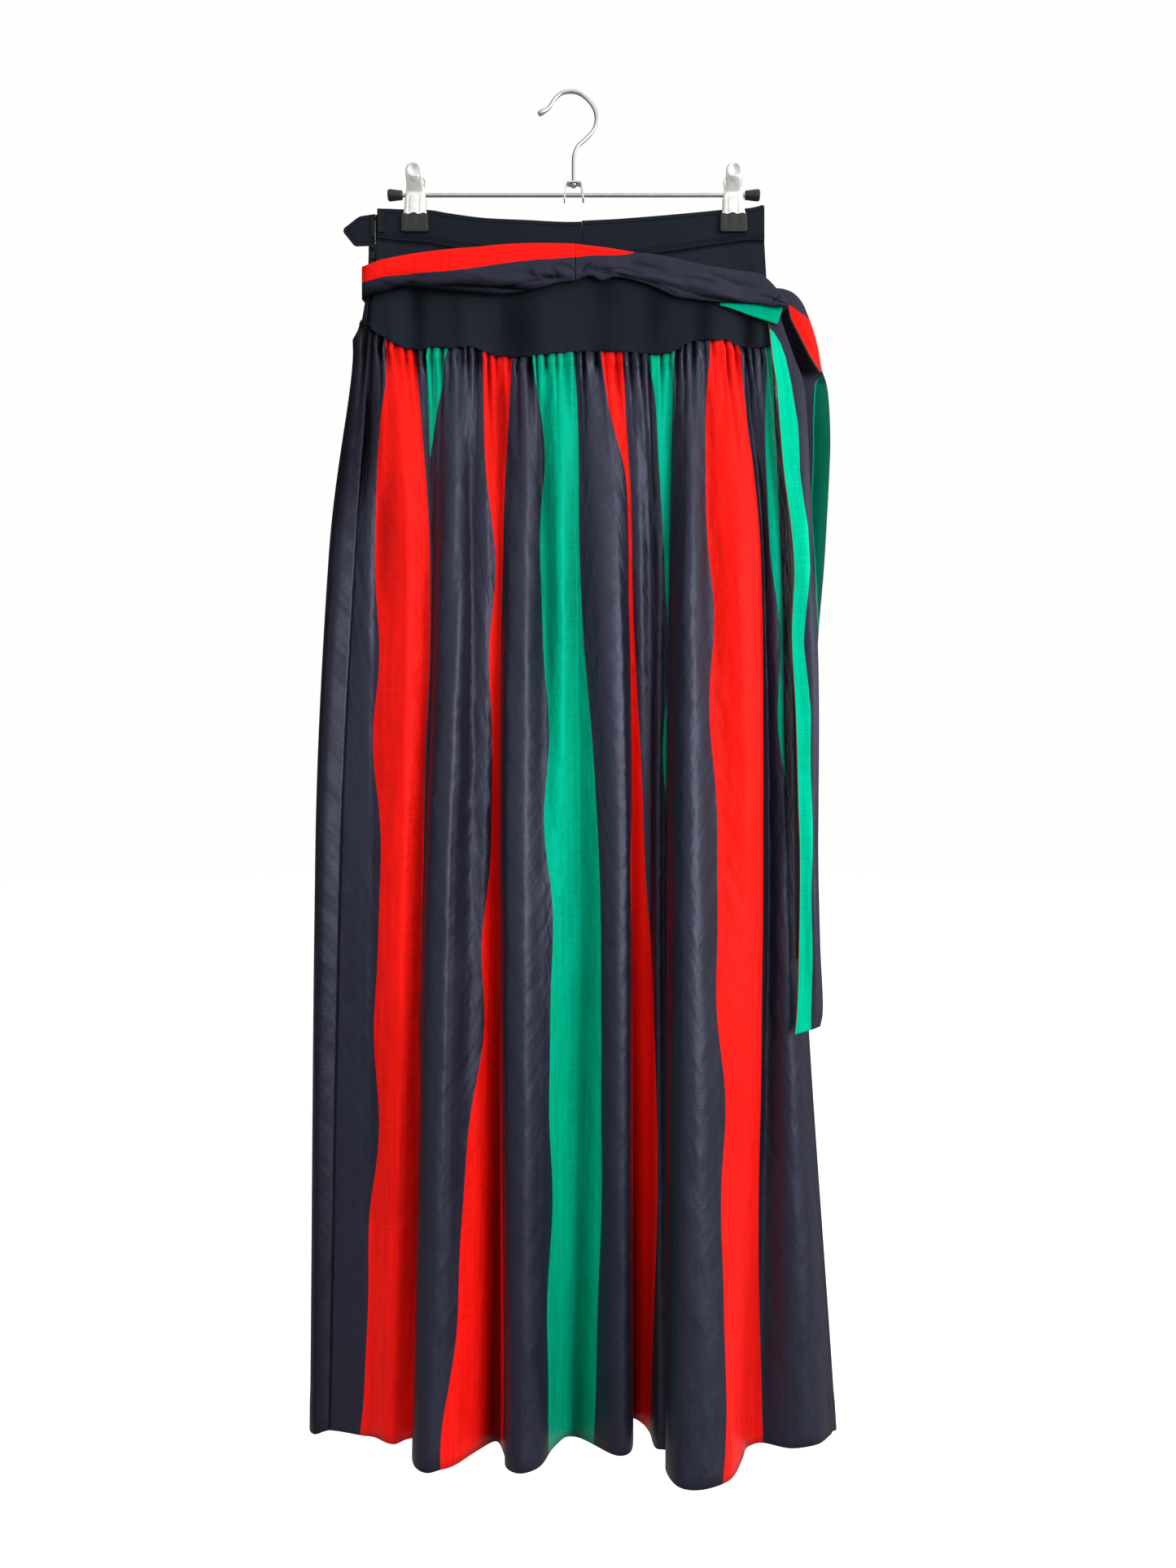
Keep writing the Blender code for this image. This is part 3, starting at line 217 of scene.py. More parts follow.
# Front skirt fold lines: seen x at the yoke seam, a fifth down, half down and at the hem,
# then depth at the last three
FRONT_FOLDS = (
    (-167, -180, -192, -202, -3, -2, -1),
    (-162, -169, -171, -177, -9, -8, -8),
    (-155, -160, -163, -165, -5, -7, -12),
    (-149, -139, -143, -150, -16, -19, -21),
    (-126, -116, -122, -129, -5, -8, -10),
    (-112, -112, -121, -132, -12, -22, -40),
    (-104, -107, -117, -129, -17, -30, -56),
    (-96, -99, -107, -119, -22, -36, -61),
    (-89, -90, -99, -109, -21, -35, -58),
    (-82, -82, -84, -96, -8, -18, -50),
    (-73, -71, -71, -79, -12, -16, -34),
    (-65, -61, -60, -62, -6, -8, -17),
    (-56, -57, -58, -55, -12, -24, -38),
    (-47, -51, -54, -53, -18, -36, -54),
    (-38, -38, -39, -41, -23, -40, -63),
    (-28, -21, -22, -25, -8, -28, -52),
    (-12, -9, -7, -12, -18, -22, -22),
    (3, 6, 10, 2, -5, -8, -7.5),
    (16, 24, 35, 38, -16, -24, -38),
    (25, 40, 47, 49, -14, -20, -35),
    (38, 48, 51, 52, -6, -10, -15),
    (44, 50, 52, 51, 1, 6, 19),
    (50, 58, 59, 62, -4, 2, 9),
    (58, 66, 67, 66, 2, 2, -2),
    (75, 75, 73, 73, -5, -8, -30),
    (84, 81, 79, 82, -2, -5, -33),
    (89, 84, 81, 80, -14, -22, -58),
    (96, 95, 93, 91, -27, -45, -81),
    (103, 105, 108, 112, -27, -45, -83),
    (111, 116, 122, 131, -16, -30, -75),
    (124, 139, 148, 143, -20, -26, -45),
    (137, 157, 160, 148, -12, -16, -24),
    (145, 161, 165, 159, -1, -1, -19),
    (156, 169, 177, 188, -9, -12, -27),
    (161, 177, 184, 205, -6, -8, -24),
    (167, 184, 190, 218, 0, 0, -6),
)

# Back skirt fold lines between the two side seams: true x at the four levels, then all four depths
BACK_FOLDS = (
    (-174, -195, -208, -212, -4, -7, -8, -7),
    (-176.5, -202, -213, -218, 2, 2, 2, 3),
    (-171, -191, -200, -202, 7, 14, 20, 26),
    (-157, -170, -172, -174, 6, 8, 10, 13),
    (-135, -146, -148, -147, 7, 18, 28, 40),
    (-114, -118, -120, -118, 5, 9, 13, 21),
    (-93, -92, -92, -90, 7, 20, 32, 46),
    (-70, -66, -64, -66, 5, 9, 14, 22),
    (-46, -40, -36, -40, 7, 19, 31, 45),
    (-22, -14, -8, -12, 6, 9, 14, 23),
    (1, 12, 22, 18, 7, 21, 34, 48),
    (25, 38, 50, 48, 7, 12, 18, 32),
    (48, 64, 80, 76, 6, 20, 33, 47),
    (72, 90, 106, 104, 6, 9, 13, 22),
    (96, 116, 130, 134, 7, 19, 29, 42),
    (119, 140, 152, 162, 6, 8, 11, 18),
    (140, 161, 172, 191, 7, 15, 21, 30),
    (157, 177, 185, 209, 6, 9, 11, 16),
    (166.8, 187, 192.5, 222, 3, 4, 4, 2),
)

# Front sash: seen x, top z, bottom z, depth
SASH_FRONT = (
    (-173.3, -146, -172.6, 0.9),
    (-173.8, -145, -172.4, -2.2),
    (-171.2, -143.8, -169.6, -6.6),
    (-165, -141.6, -167.6, -9),
    (-159.1, -139.3, -166.1, -9.8),
    (-147, -136.8, -163.6, -10),
    (-135.3, -134.5, -161.4, -9.7),
    (-121, -132.5, -162.6, -9.9),
    (-107.4, -130.8, -164.1, -10.6),
    (-94, -129.4, -165.6, -10.9),
    (-79.6, -128.4, -166.8, -10.4),
    (-57.8, -126.3, -167.5, -9.9),
    (-38.1, -125.3, -164.8, -10.6),
    (-24, -125.2, -161.6, -10.9),
    (-10.2, -125.3, -158, -10.4),
    (3.4, -125.7, -156.6, -9.9),
    (17, -127.4, -152.5, -10),
    (25.8, -128.4, -156.6, -10.3),
    (37.4, -130.1, -153.2, -10.2),
    (55.1, -133.1, -156.6, -9.8),
    (72.8, -134.8, -162.7, -10),
    (87.7, -137.9, -169.5, -10.4),
    (102, -141.2, -171.8, -10.8),
    (117, -144.4, -173.6, -11.2),
    (138.7, -147.8, -174.6, -10.6),
    (158.4, -150.8, -176.3, -10.2),
    (165, -155.6, -177.6, -10.6),
    (170.6, -161.4, -178.4, -11),
    (176.1, -168.2, -178.4, -11.4),
    (181.6, -174.3, -177.2, -11),
)
SASH_SEAM_X = 3.4

# Back sash: true x, top z, bottom z, depth
SASH_BACK = (
    (-173.2, -146.4, -172.4, 1.7),
    (-172.6, -145.4, -172.4, 5.2),
    (-167, -143, -172, 8.8),
    (-150, -139, -169, 10.4),
    (-110, -133, -163, 10.6),
    (-60, -129, -160, 10.2),
    (0, -128, -159, 10.6),
    (60, -131, -161, 10.2),
    (110, -139, -168, 10.6),
    (148, -147, -174, 9.6),
    (160, -152.4, -176.6, 8.2),
    (166.4, -157, -178, 5.6),
    (168.2, -161, -179, 3.2),
)

# Turned-under layer below the sash by the knot: seen x, top z, bottom z, depth
SASH_UNDER = (
    (124.6, -175.2, -176.8, -8),
    (136, -175.4, -180.2, -8.2),
    (148, -175.8, -184.6, -8.4),
    (160, -176.2, -188.8, -8.4),
    (168, -176.4, -191.4, -8.6),
    (172.4, -176.6, -192.6, -8.6),
    (174.6, -176.8, -187.6, -8.5),
    (177, -177, -180.4, -8.4),
)

# Hanging ends: seen x and z of the left edge, of the right edge, and depth
TAIL_FRONT = (
    (165, -190, 174.6, -184.4, -6.2),
    (166.2, -202.6, 178.9, -198, -7.7),
    (168, -220, 187, -221, -13.4),
    (171.4, -242.3, 194.8, -242.3, -16.4),
    (174.1, -274.9, 197.9, -274.9, -18),
    (177.5, -315, 199.9, -315, -18),
    (183.6, -362.6, 202, -362.6, -18),
    (186.3, -398, 202.6, -398, -18),
    (184.3, -451, 206, -451, -19),
    (187.7, -519.7, 207.4, -519.7, -20),
    (189.7, -595.2, 207, -595.2, -21),
    (191, -636, 206.7, -636, -21),
    (190.4, -712.2, 208.4, -712.2, -22),
    (188.4, -770, 210.6, -768, -22),
    (186.7, -786.7, 208.6, -779.5, -22),
)
TAIL_REAR = (
    (169.6, -175.6, 170.6, -162.6, -3.8),
    (172.4, -179.6, 178, -163.4, -3.8),
    (174.1, -185, 186.2, -166.8, -4),
    (174.9, -190.4, 193.4, -174.6, -4.4),
    (175.6, -196.2, 198.2, -185.4, -4.8),
    (177, -203.4, 202.6, -197.4, -5.4),
    (179.5, -215.4, 206.7, -213, -6.6),
    (182.9, -231, 209.6, -230, -8.2),
    (187, -246.2, 214.2, -245.7, -9.6),
    (192.4, -287.2, 216.9, -287.2, -11),
    (193.1, -315, 216.2, -315, -11),
    (191.8, -355.2, 214.2, -355.2, -11),
    (189.7, -398, 211.5, -398, -11),
    (185.6, -455, 206.7, -455, -11.5),
    (185.6, -520, 204.7, -520, -12),
    (187, -602, 204, -602, -13),
    (188.4, -723, 204, -724.4, -14),
)

# Hanging ends: how far their middle stands out, and how far the two halves twist apart
TAIL_FULLNESS = 1.6
TAIL_TWIST = 0.7

# Knot
KNOT_CENTRE = (174.6, 0.7, -170.6)
KNOT_HALF_SIZE = (5.0, 3.2, 7.4)
KNOT_START = 0.6
KNOT_TURN = 6.9

# Pointed tab: x and z round its outline, and its depth
TAB_OUTLINE = (
    (-189.7, -115.1),
    (-188.6, -112.9),
    (-178, -104),
    (-175.2, -102.5),
    (-163.5, -100.2),
    (-163.5, -126.6),
    (-178.6, -127.8),
    (-180.8, -127.2),
    (-189, -117.2),
)
TAB_DEPTH = 1.15
TAB_TURN = 0.1

# Zip
TAPE_WIDTH = 3.6
TAPE_WALL = 0.8
TAPE_BEHIND = 1.7
TAPE_TOP_Z = -126.5
TAPE_BOTTOM_Z = -306.0
TOOTH_SIZE = (1.5, 0.7, 1.05)
TEETH_TOP_Z = -141.5
TEETH_BOTTOM_Z = -304.0
TEETH_PITCH = 2.0
SLIDER_SIZE = (5.4, 2.4, 6.5)
SLIDER_CENTRE = (-165.0, -5.2, -137.8)
PULL_SIZE = (3.2, 0.9, 18.0)
PULL_CENTRE = (-165.2, -5.9, -150.4)
STOP_SIZE = (1.5, 0.7, 5.3)
STOP_CENTRE = (-162.3, -4.4, -131.0)

# Fastener by the side opening
PLATE_SIZE = (4.8, 0.7, 18.6)
PLATE_CENTRE = (-157.6, -3.5, -108.1)
CATCH_SIZE = (2.8, 1.3, 16.4)
CATCH_CENTRE = (-165.3, -0.75, -112.0)

# Clip jaw: z, half width, distance from the middle plane
JAW = (
    (-62.9, 2.4, 11.2),
    (-63.8, 4.8, 11.2),
    (-66, 6.4, 11),
    (-69, 7, 10.4),
    (-71.6, 7, 9.5),
    (-73.6, 6.9, 8.6),
    (-76.6, 6.6, 7),
    (-80, 6.9, 4.8),
    (-83.2, 7.7, 3),
    (-85, 8, 2.62),
    (-87.4, 8.3, 2.9),
    (-92, 8.4, 4.1),
    (-97.4, 8.6, 4.9),
    (-102.2, 9.6, 4.7),
)

# Rounded top of a jaw, and the half-moon lip pressed out of it: drop below its top, size and rise
JAW_TOP_RADIUS = 7.0
LIP_DROP = 9.6
LIP_HALF_WIDTH = 4.0
LIP_DEPTH = 4.8
LIP_RISE = 1.1

# Two grooves pressed into jaws and pads, either side of a line
GROOVE_MIDDLE_X = -1.0
GROOVE_OFFSET = 4.2
GROOVE_DEPTH = 0.55
JAW_GROOVE_HALF_WIDTH = 0.55
PAD_GROOVE_HALF_WIDTH = 0.9

# Foot of a jaw: z from and to, ridge between its grooves, and the scallops of the jaw's and pad's edges
JAW_FOOT = (-84.0, -90.0)
RIDGE_HEIGHT = 0.45
RIDGE_HALF_WIDTH = 2.8
JAW_SCALLOP = 0.5
PAD_SCALLOP = 0.27

# How far a jaw's sides bend back, and its oval hollow for a thumb: middle below the top, size and depth
SIDE_BEND = 1.1
HOLLOW_DROP = 5.6
HOLLOW_HALF_WIDTH = 5.2
HOLLOW_HALF_HEIGHT = 5.0
HOLLOW_DEPTH = 1.5

# Hook wire: x, z and radius along its middle; its knobbed tip: distance beyond the start and radius
HOOK = (
    (-25.2, -16.5, 2.3),
    (-23, -15.2, 2.3),
    (-20, -13.6, 1.8),
    (-16.6, -10.2, 1.7),
    (-13.2, -4.8, 1.7),
    (-7.2, 0.3, 1.7),
    (0, 1.7, 1.7),
    (7.2, 0.3, 1.7),
    (14.3, -4.8, 1.7),
    (19.8, -12.2, 1.7),
    (21.8, -20.9, 1.7),
    (19.7, -30.1, 1.7),
    (13.6, -37.2, 1.7),
    (6.2, -44.2, 1.7),
    (3.2, -51.6, 1.7),
    (2.8, -60, 1.7),
    (2.8, -70, 1.7),
    (2.8, -76.4, 1.7),
)
HOOK_TIP = ((1.95, 0.7), (1.8, 1.2), (1.4, 1.75), (0.8, 2.15))

# Head below the stirrup, z and radius, and the x of the stem
STEM_HEAD = ((-76.45, 1.7), (-76.5, 3.0), (-77.6, 2.8), (-78.4, 1.8), (-78.6, 1.0))
STEM_X = 2.8

# Rubber end caps
CAP_LENGTH = 12.3
CAP_OVERLAP = 10.0
CAP_INNER_RADIUS = 3.65
CAP_OUTER_RADIUS = 4.75

# Striped design: levels down the panel, and the lengths of the two waves of the stripes' edges
STRIPE_LEVELS = (0.0, 0.2035, 0.467, 0.73, 1.0)
WAVE_LENGTH = 204.0
SHORT_WAVE_LENGTH = 127.0

# Each stripe's left and right edge as fold numbers at these levels, and its wave's place
FRONT_RED = (
    ((1.9, 1.77, 2.18, 2.08, 1), (3.82, 3.94, 3.9, 3.9, 4.4), 0.4),
    ((9.92, 10.5, 10.24, 9.28, 8.2), (12.86, 12, 11.67, 12, 11.9), 2.6),
    ((19.1, 20.3, 19.9, 19.7, 20.3), (21.1, 21.3, 22.45, 24, 23.2), 4),
    ((29.15, 28.95, 28.95, 29.02, 28.85), (31.15, 31.5, 31.1, 31.35, 32.1), 1.2),
)
FRONT_GREEN = (
    ((4.33, 4.7, 5, 5, 5), (6.17, 2.9, 1, 1, 1), 2.6),
    ((15, 14.84, 15.27, 15.44, 15.37), (17.1, 17.15, 17.56, 17.63, 17.5), 5.2),
    ((23.2, 24.7, 25.4, 27, 27), (25.5, 25.5, 25.4, 24, 24), 0.5),
    ((33.6, 33, 33.9, 34.5, 34.5), (35, 33.83, 33.5, 33, 33), 0.9),
)
BACK_RED = (
    ((3.3, 3.5, 3.3, 3.5, 3.2), (5.2, 5, 5.3, 5.1, 5.4), 1),
    ((9.2, 9.4, 9.2, 9, 8.8), (10.9, 10.7, 11, 11.1, 11.2), 3.3),
    ((15.1, 15.3, 15.1, 15.2, 15), (16.9, 16.8, 17, 16.9, 17.2), 5),
)
BACK_GREEN = (
    ((6.5, 6.6, 6.4, 6.6, 6.5), (7.9, 8, 8.1, 7.9, 8), 2.2),
    ((12.4, 12.3, 12.5, 12.3, 12.4), (13.9, 13.8, 13.7, 13.9, 14), 0.6),
    ((18.3, 18.5, 19.4, 20, 20), (19.4, 19.2, 18.9, 18, 18), 4.1),
)

# Soft creases of the front panel: seen x and z of both ends, height towards the viewer, half width
SKIRT_CREASES = (
    (-160, -228, -162.5, -357, 1.5, 6),
    (-173, -242, -175.5, -357, -1.5, 5),
    (-147, -231, -138.5, -357, 1.4, 6),
    (-151.5, -303, -157, -439, -1.1, 8),
    (-136.5, -228, -121.5, -303, 1, 3.9),
    (-103.5, -240, -106.5, -507, 1.9, 7.2),
    (-91, -241, -94.5, -507, -1.5, 7),
    (-83.5, -221, -85.5, -303, 1.1, 3.2),
    (-87.5, -398, -96, -507, 0.8, 6.5),
    (-60.5, -228, -57, -357, -1.4, 6),
    (-66, -221, -64.5, -276, 1, 2.5),
    (-36, -228, -39.5, -398, 1.6, 7),
    (-49.5, -425, -34.5, -507, 0.7, 6.5),
    (-31, -398, -41.5, -507, 0.8, 6.5),
    (-41.5, -520, -22.5, -575, 0.7, 5),
    (-7.5, -248, -2.5, -507, 1.9, 8),
    (-19.5, -228, -22.5, -398, -1.4, 6),
    (-15.5, -228, -14.5, -276, 0.9, 2.5),
    (-0.5, -221, 2, -276, 0.9, 2.5),
    (18.5, -228, 14.5, -344, 1.5, 6),
    (7.5, -228, 7.5, -303, -1, 3.2),
    (31.5, -228, 38, -289, 1, 3.2),
    (36.5, -221, 40, -262, -0.9, 2),
    (57, -221, 60.5, -303, 1.1, 3.9),
    (75, -228, 73, -357, 1.5, 6),
    (80, -228, 80, -330, -0.9, 3.2),
    (98, -248, 100, -507, 1.9, 8),
    (121.5, -221, 119, -398, 1.5, 7),
    (130.5, -221, 125, -303, -1, 3.2),
    (135.5, -242, 145.5, -303, 1, 3.9),
    (154.5, -221, 152.5, -276, 0.9, 2.5),
    (147.5, -228, 150, -303, -0.9, 3.2),
    (-92, -534, -96, -602, 0.7, 6.5),
    (-75.5, -554, -68.5, -609, 0.7, 5),
    (82, -908, 101, -942, 0.7, 5),
    (138.5, -928, 145.5, -1078, 1, 10),
)

# Places of the front panel in the shade: seen x from and to, seen z from and to, how deep
FRONT_SHADE = ((-240, -158, -330, -180, 0.55), (175, 215, -640, -228, 0.75))

# Creases of the back panel: x and z of both ends, height, half width
BACK_CREASES = (
    (-150, -216, -158, -420, 1.5, 4),
    (-118, -214, -124, -360, -1.4, 3.5),
    (-96, -214, -92, -520, 1.3, 4.5),
    (-60, -214, -52, -340, 1.3, 3.5),
    (-30, -214, -22, -470, -1.2, 4),
    (-4, -216, 6, -380, 1.4, 3.5),
    (34, -214, 44, -560, 1.2, 5),
    (62, -216, 80, -420, -1.3, 4),
    (86, -214, 104, -350, 1.3, 3.5),
    (112, -214, 134, -480, 1.2, 4.5),
    (142, -216, 160, -400, -1.2, 4),
    (-160, -560, -150, -720, 0.8, 6),
    (-100, -640, -112, -820, 0.9, 7),
    (-40, -520, -28, -760, 0.9, 6),
    (24, -700, 12, -900, 0.8, 7),
    (70, -580, 84, -800, 0.9, 6),
    (126, -640, 118, -860, 0.8, 7),
    (-128, -900, -118, -1060, 0.8, 6),
    (50, -920, 58, -1080, 0.8, 6),
)

# Creases of the yoke, waistband and sash, seen from the front
YOKE_CREASES = (
    (-128, -170, -126, -217, -1, 4),
    (-60, -170, -58, -217, -0.9, 4),
    (147.5, -168, 147.5, -215, -0.9, 4),
    (-150, -172, -150, -215, 0.8, 5),
    (-92.5, -168, -93, -217, 0.8, 5.5),
    (-28, -166, -27, -217, 0.8, 6),
    (40, -170, 38, -217, -0.7, 5),
    (74, -170, 76, -216, 0.7, 6),
    (108, -168, 109, -216, 0.7, 6),
    (-120, -130, -104, -148, 0.5, 5),
    (126, -128, 108, -146, 0.5, 5),
    (-60, -130, -54, -146, -0.4, 6),
)
SASH_CREASES = (
    (-116, -160, -1, -165, -1.4, 1.8),
    (-110, -155, -10, -158.5, 0.9, 2),
    (-60, -163, -8, -152, -1.2, 1.6),
    (-38, -150, -1, -155, -1.3, 1.8),
    (-34, -146, -20, -158, 0.8, 1.6),
    (-17, -144, -8, -157, -0.9, 1.4),
    (13, -140, 169, -177, 1.3, 2.6),
    (18, -145, 160, -179, -1.1, 2.2),
    (8, -150, 19, -140, -0.9, 1.5),
    (30, -151, 67, -161, 1.1, 2),
    (26, -149, 56, -155.5, -0.9, 1.5),
    (46, -140, 84, -150, -0.7, 2.2),
    (72, -158, 96, -169, 0.9, 1.8),
    (90, -150, 140, -160, 0.9, 2),
    (100, -168, 150, -176, -0.8, 1.8),
    (112, -151, 160, -163, -0.8, 2.2),
    (174, -167.5, 166.5, -177, -0.8, 1.2),
    (-165, -155, -120, -162, 0.8, 2),
    (-150, -163, -125, -157, -0.8, 1.8),
    (-96, -149, -60, -155, 0.8, 2.2),
)
BAND_CREASES = (
    (-146, -112, -144, -134, -0.35, 5),
    (-108, -110, -103, -132, -0.35, 6),
    (-40, -108, -38, -132, 0.3, 8),
    (62, -106, 64, -130, -0.35, 7),
    (116, -108, 114, -130, -0.35, 6),
)

# Lower edge of the red along the front sash: seen x and z
SASH_RED_EDGE = (
    (-174, -158.6),
    (-172.7, -158),
    (-159.1, -153.2),
    (-107.4, -149.1),
    (-79.6, -145.7),
    (-27.2, -138.9),
    (3.4, -137.2),
    (18.4, -136.2),
    (40, -135.4),
    (52, -133.6),
    (58, -128),
    (70, -110),
)

# Colour of the line along the front tail's edge and round the rear tail's patch
PIPED_EDGE = (0.16, 0.035, 0.02)

# Right edge of the green along the front tail, and left edge of it along the rear tail: seen z and x
TAIL_FRONT_GREEN = (
    (-150, 150),
    (-194, 163),
    (-199.6, 169.4),
    (-207.8, 174.8),
    (-220.4, 179.7),
    (-233, 182.9),
    (-242, 184.9),
    (-275, 189.6),
    (-315, 191.4),
    (-362, 198.6),
    (-398, 199.4),
    (-459, 195.4),
    (-519, 200.4),
    (-636, 202),
    (-790, 201.4),
)
TAIL_REAR_GREEN = (
    (-180, 230),
    (-226, 216),
    (-242, 204.5),
    (-275, 203),
    (-340, 201.5),
    (-400, 204),
    (-440, 206.5),
    (-462, 209),
    (-480, 225),
)

# Left and right edge of the rear tail's red patch: seen z and x
RED_PATCH_LEFT = (
    (-176, 184.5),
    (-177.5, 182.2),
    (-188.6, 184.7),
    (-206.3, 193.6),
    (-220, 200.6),
    (-233.5, 209.2),
)
RED_PATCH_RIGHT = (
    (-176, 186),
    (-180, 190.7),
    (-194.6, 199.4),
    (-212.2, 205.4),
    (-224, 208),
    (-233.5, 209.4),
)


def colour_setting(name, description, default):
    """A colour that the panel shows."""
    return FloatVectorProperty(name=name, description=description, subtype="COLOR", default=default)


def size_setting(name, description, default):
    """A size in metres that the panel shows."""
    return FloatProperty(name=name, description=description, subtype="DISTANCE", default=default)


def number_setting(name, description, default, **limits):
    """A plain number that the panel shows."""
    return FloatProperty(name=name, description=description, default=default, **limits)


class ClothLook(PropertyGroup):
    """Colours and form of the cloth."""

    navy: colour_setting("Navy", "Ground of the striped cloth", (0.0110, 0.0116, 0.0236))
    red: colour_setting("Red", "Red stripes", (0.95, 0.009, 0.006))
    green: colour_setting("Green", "Green stripes", (0.0, 0.39, 0.225))
    yoke: colour_setting("Yoke", "Plain cloth of yoke and waistband", (0.0066, 0.0094, 0.0150))
    thickness: size_setting("Cloth thickness", "Thickness of the single cloth", 0.0006)
    gather_depth: size_setting("Gather depth", "Height of the gathers below the yoke", 0.0042)
    crease_share: number_setting("Crease height", "Share of the creases' height", 1.0, min=0.0, max=2.0)
    wave: size_setting("Stripe wave", "How far the stripes' edges swing", 0.0027)


class HangerLook(PropertyGroup):
    """Sizes and finish of the hanger."""

    wire_radius: size_setting("Hook wire", "Radius of the hook's wire", 0.0017)
    steel: colour_setting("Steel", "Colour of the plated steel", (0.62, 0.62, 0.61))
    rubber: colour_setting("Rubber", "Colour of pads and caps", (0.0068, 0.0075, 0.0082))


class StudioLook(PropertyGroup):
    """Floor and light."""

    floor_drop: size_setting("Floor below hem", "How far the floor is below the hem", 0.19)
    floor_glow: number_setting("Floor glow", "How far the floor is lit up towards the room", 0.55)
    key: number_setting("Key light", "Power of the light at the viewer's right", 34.0)
    fill: number_setting("Fill light", "Power of the light at the viewer's left", 4.0)
    ambient: number_setting("Ambient", "Brightness of the room", 0.6)


# Reading the tables


def nearness(y):
    """How much farther from the eye's line a place at depth y is than where it is seen."""
    return 1.0 + y / EYE_DISTANCE


def true_x(x, y):
    """True X of what is seen at x with depth y."""
    return EYE_X + (x - EYE_X) * nearness(y)


def true_z(z, y):
    """True Z of what is seen at z with depth y."""
    return EYE_Z + (z - EYE_Z) * nearness(y)


def seen(x, z, y):
    """True place of what is seen at x and z with depth y."""
    return true_x(x, y), y, true_z(z, y)


def seen_places(points):
    """X and Z of points as seen from the eye point."""
    near = nearness(points[..., 1])
    return EYE_X + (points[..., 0] - EYE_X) / near, EYE_Z + (points[..., 2] - EYE_Z) / near


def curve(a, leave, b, arrive, u):
    """Place at share u of a smooth curve from a to b, by its tangents at both ends."""
    return (
        a * (2 * u**3 - 3 * u**2 + 1)
        + leave * (u**3 - 2 * u**2 + u)
        + b * (3 * u**2 - 2 * u**3)
        + arrive * (u**3 - u**2)
    )


def eased(knots, values, at):
    """Smooth values at the places asked for, never passing the two neighbours."""
    x = np.asarray(knots, float)
    y = np.asarray(values, float)
    at = np.asarray(at, float)
    step = np.diff(x)
    slope = np.diff(y, axis=0) / step.reshape((-1,) + (1,) * (y.ndim - 1))
    tangent = np.zeros_like(y)
    tangent[0] = slope[0]
    tangent[-1] = slope[-1]
    before, after = slope[:-1], slope[1:]
    both = before + after
    both = np.where(np.abs(both) < 1e-9, 1.0, both)
    tangent[1:-1] = np.where(before * after > 0, 2 * before * after / both, 0.0)
    i = np.clip(np.searchsorted(x, at, side="right") - 1, 0, len(step) - 1)
    h = step[i].reshape(at.shape + (1,) * (y.ndim - 1))
    u = ((at - x[i]) / step[i]).reshape(at.shape + (1,) * (y.ndim - 1))
    return curve(y[i], tangent[i] * h, y[i + 1], tangent[i + 1] * h, u)


def across(lines, steps):
    """Smooth curves through an array of lines, with steps[i] parts from each to the next."""
    padded = np.concatenate([2 * lines[:1] - lines[1:2], lines, 2 * lines[-1:] - lines[-2:-1]])
    root = np.sqrt(np.linalg.norm(np.diff(padded, axis=0), axis=2, keepdims=True)) + 1e-6
    made = []
    for i, count in enumerate(steps):
        a, b, c, d = padded[i : i + 4]
        ta, tb, tc = root[i], root[i + 1], root[i + 2]
        leave = tb * ((b - a) / ta - (c - a) / (ta + tb) + (c - b) / tb)
        arrive = tb * ((c - b) / tb - (d - b) / (tb + tc) + (d - c) / tc)
        made += [curve(b, leave, c, arrive, k / count) for k in range(count)]
    made.append(lines[-1])
    return np.array(made)


def facing(grid):
    """Unit normals of a grid of points."""
    along = np.gradient(grid, axis=1)
    down = np.gradient(grid, axis=0)
    normal = np.cross(along, down)
    return normal / (np.linalg.norm(normal, axis=2, keepdims=True) + 1e-12)


def gather_steps(seam_x, half_pitch):
    """Columns between fold lines: one for each half gather at the seam, an even number in all."""
    widths = np.abs(np.diff(np.asarray(seam_x, float)))
    steps = [max(2, int(round(w / half_pitch))) for w in widths]
    steps[-1] += sum(steps) % 2
    return steps


def straightened(heights):
    """Seam heights by column, with every second one midway between its neighbours."""
    made = heights.copy()
    made[1:-1:2] = (heights[0:-2:2] + heights[2::2]) / 2
    return made


def hung(grid, top, share):
    """The grid with each column let down evenly from its height at the seam to the hem."""
    grid[:, :, 2] = top[None, :] + (HEM_Z - top)[None, :] * share[:, None]
    return grid


def back_seam_at(x):
    """Z of the back yoke's lower edge at x."""
    table = np.array(BACK_SEAM)
    return np.interp(x, table[:, 0], table[:, 1])


def band_at(x):
    """True top z, bottom z and the front depths of the waistband at x."""
    table = np.array(BAND)
    station = eased(table[:, 0], table[:, 1:], x)
    station[:, 0] = true_z(station[:, 0], station[:, 2])
    station[:, 1] = true_z(station[:, 1], station[:, 3])
    return station


def yoke_seam_at(x):
    """True z and depth of the yoke's lower edge at x."""
    table = np.array(YOKE_SEAM)
    seam = eased(table[:, 0], table[:, 1:], x)
    seam[:, 0] = true_z(seam[:, 0], seam[:, 1])
    return seam


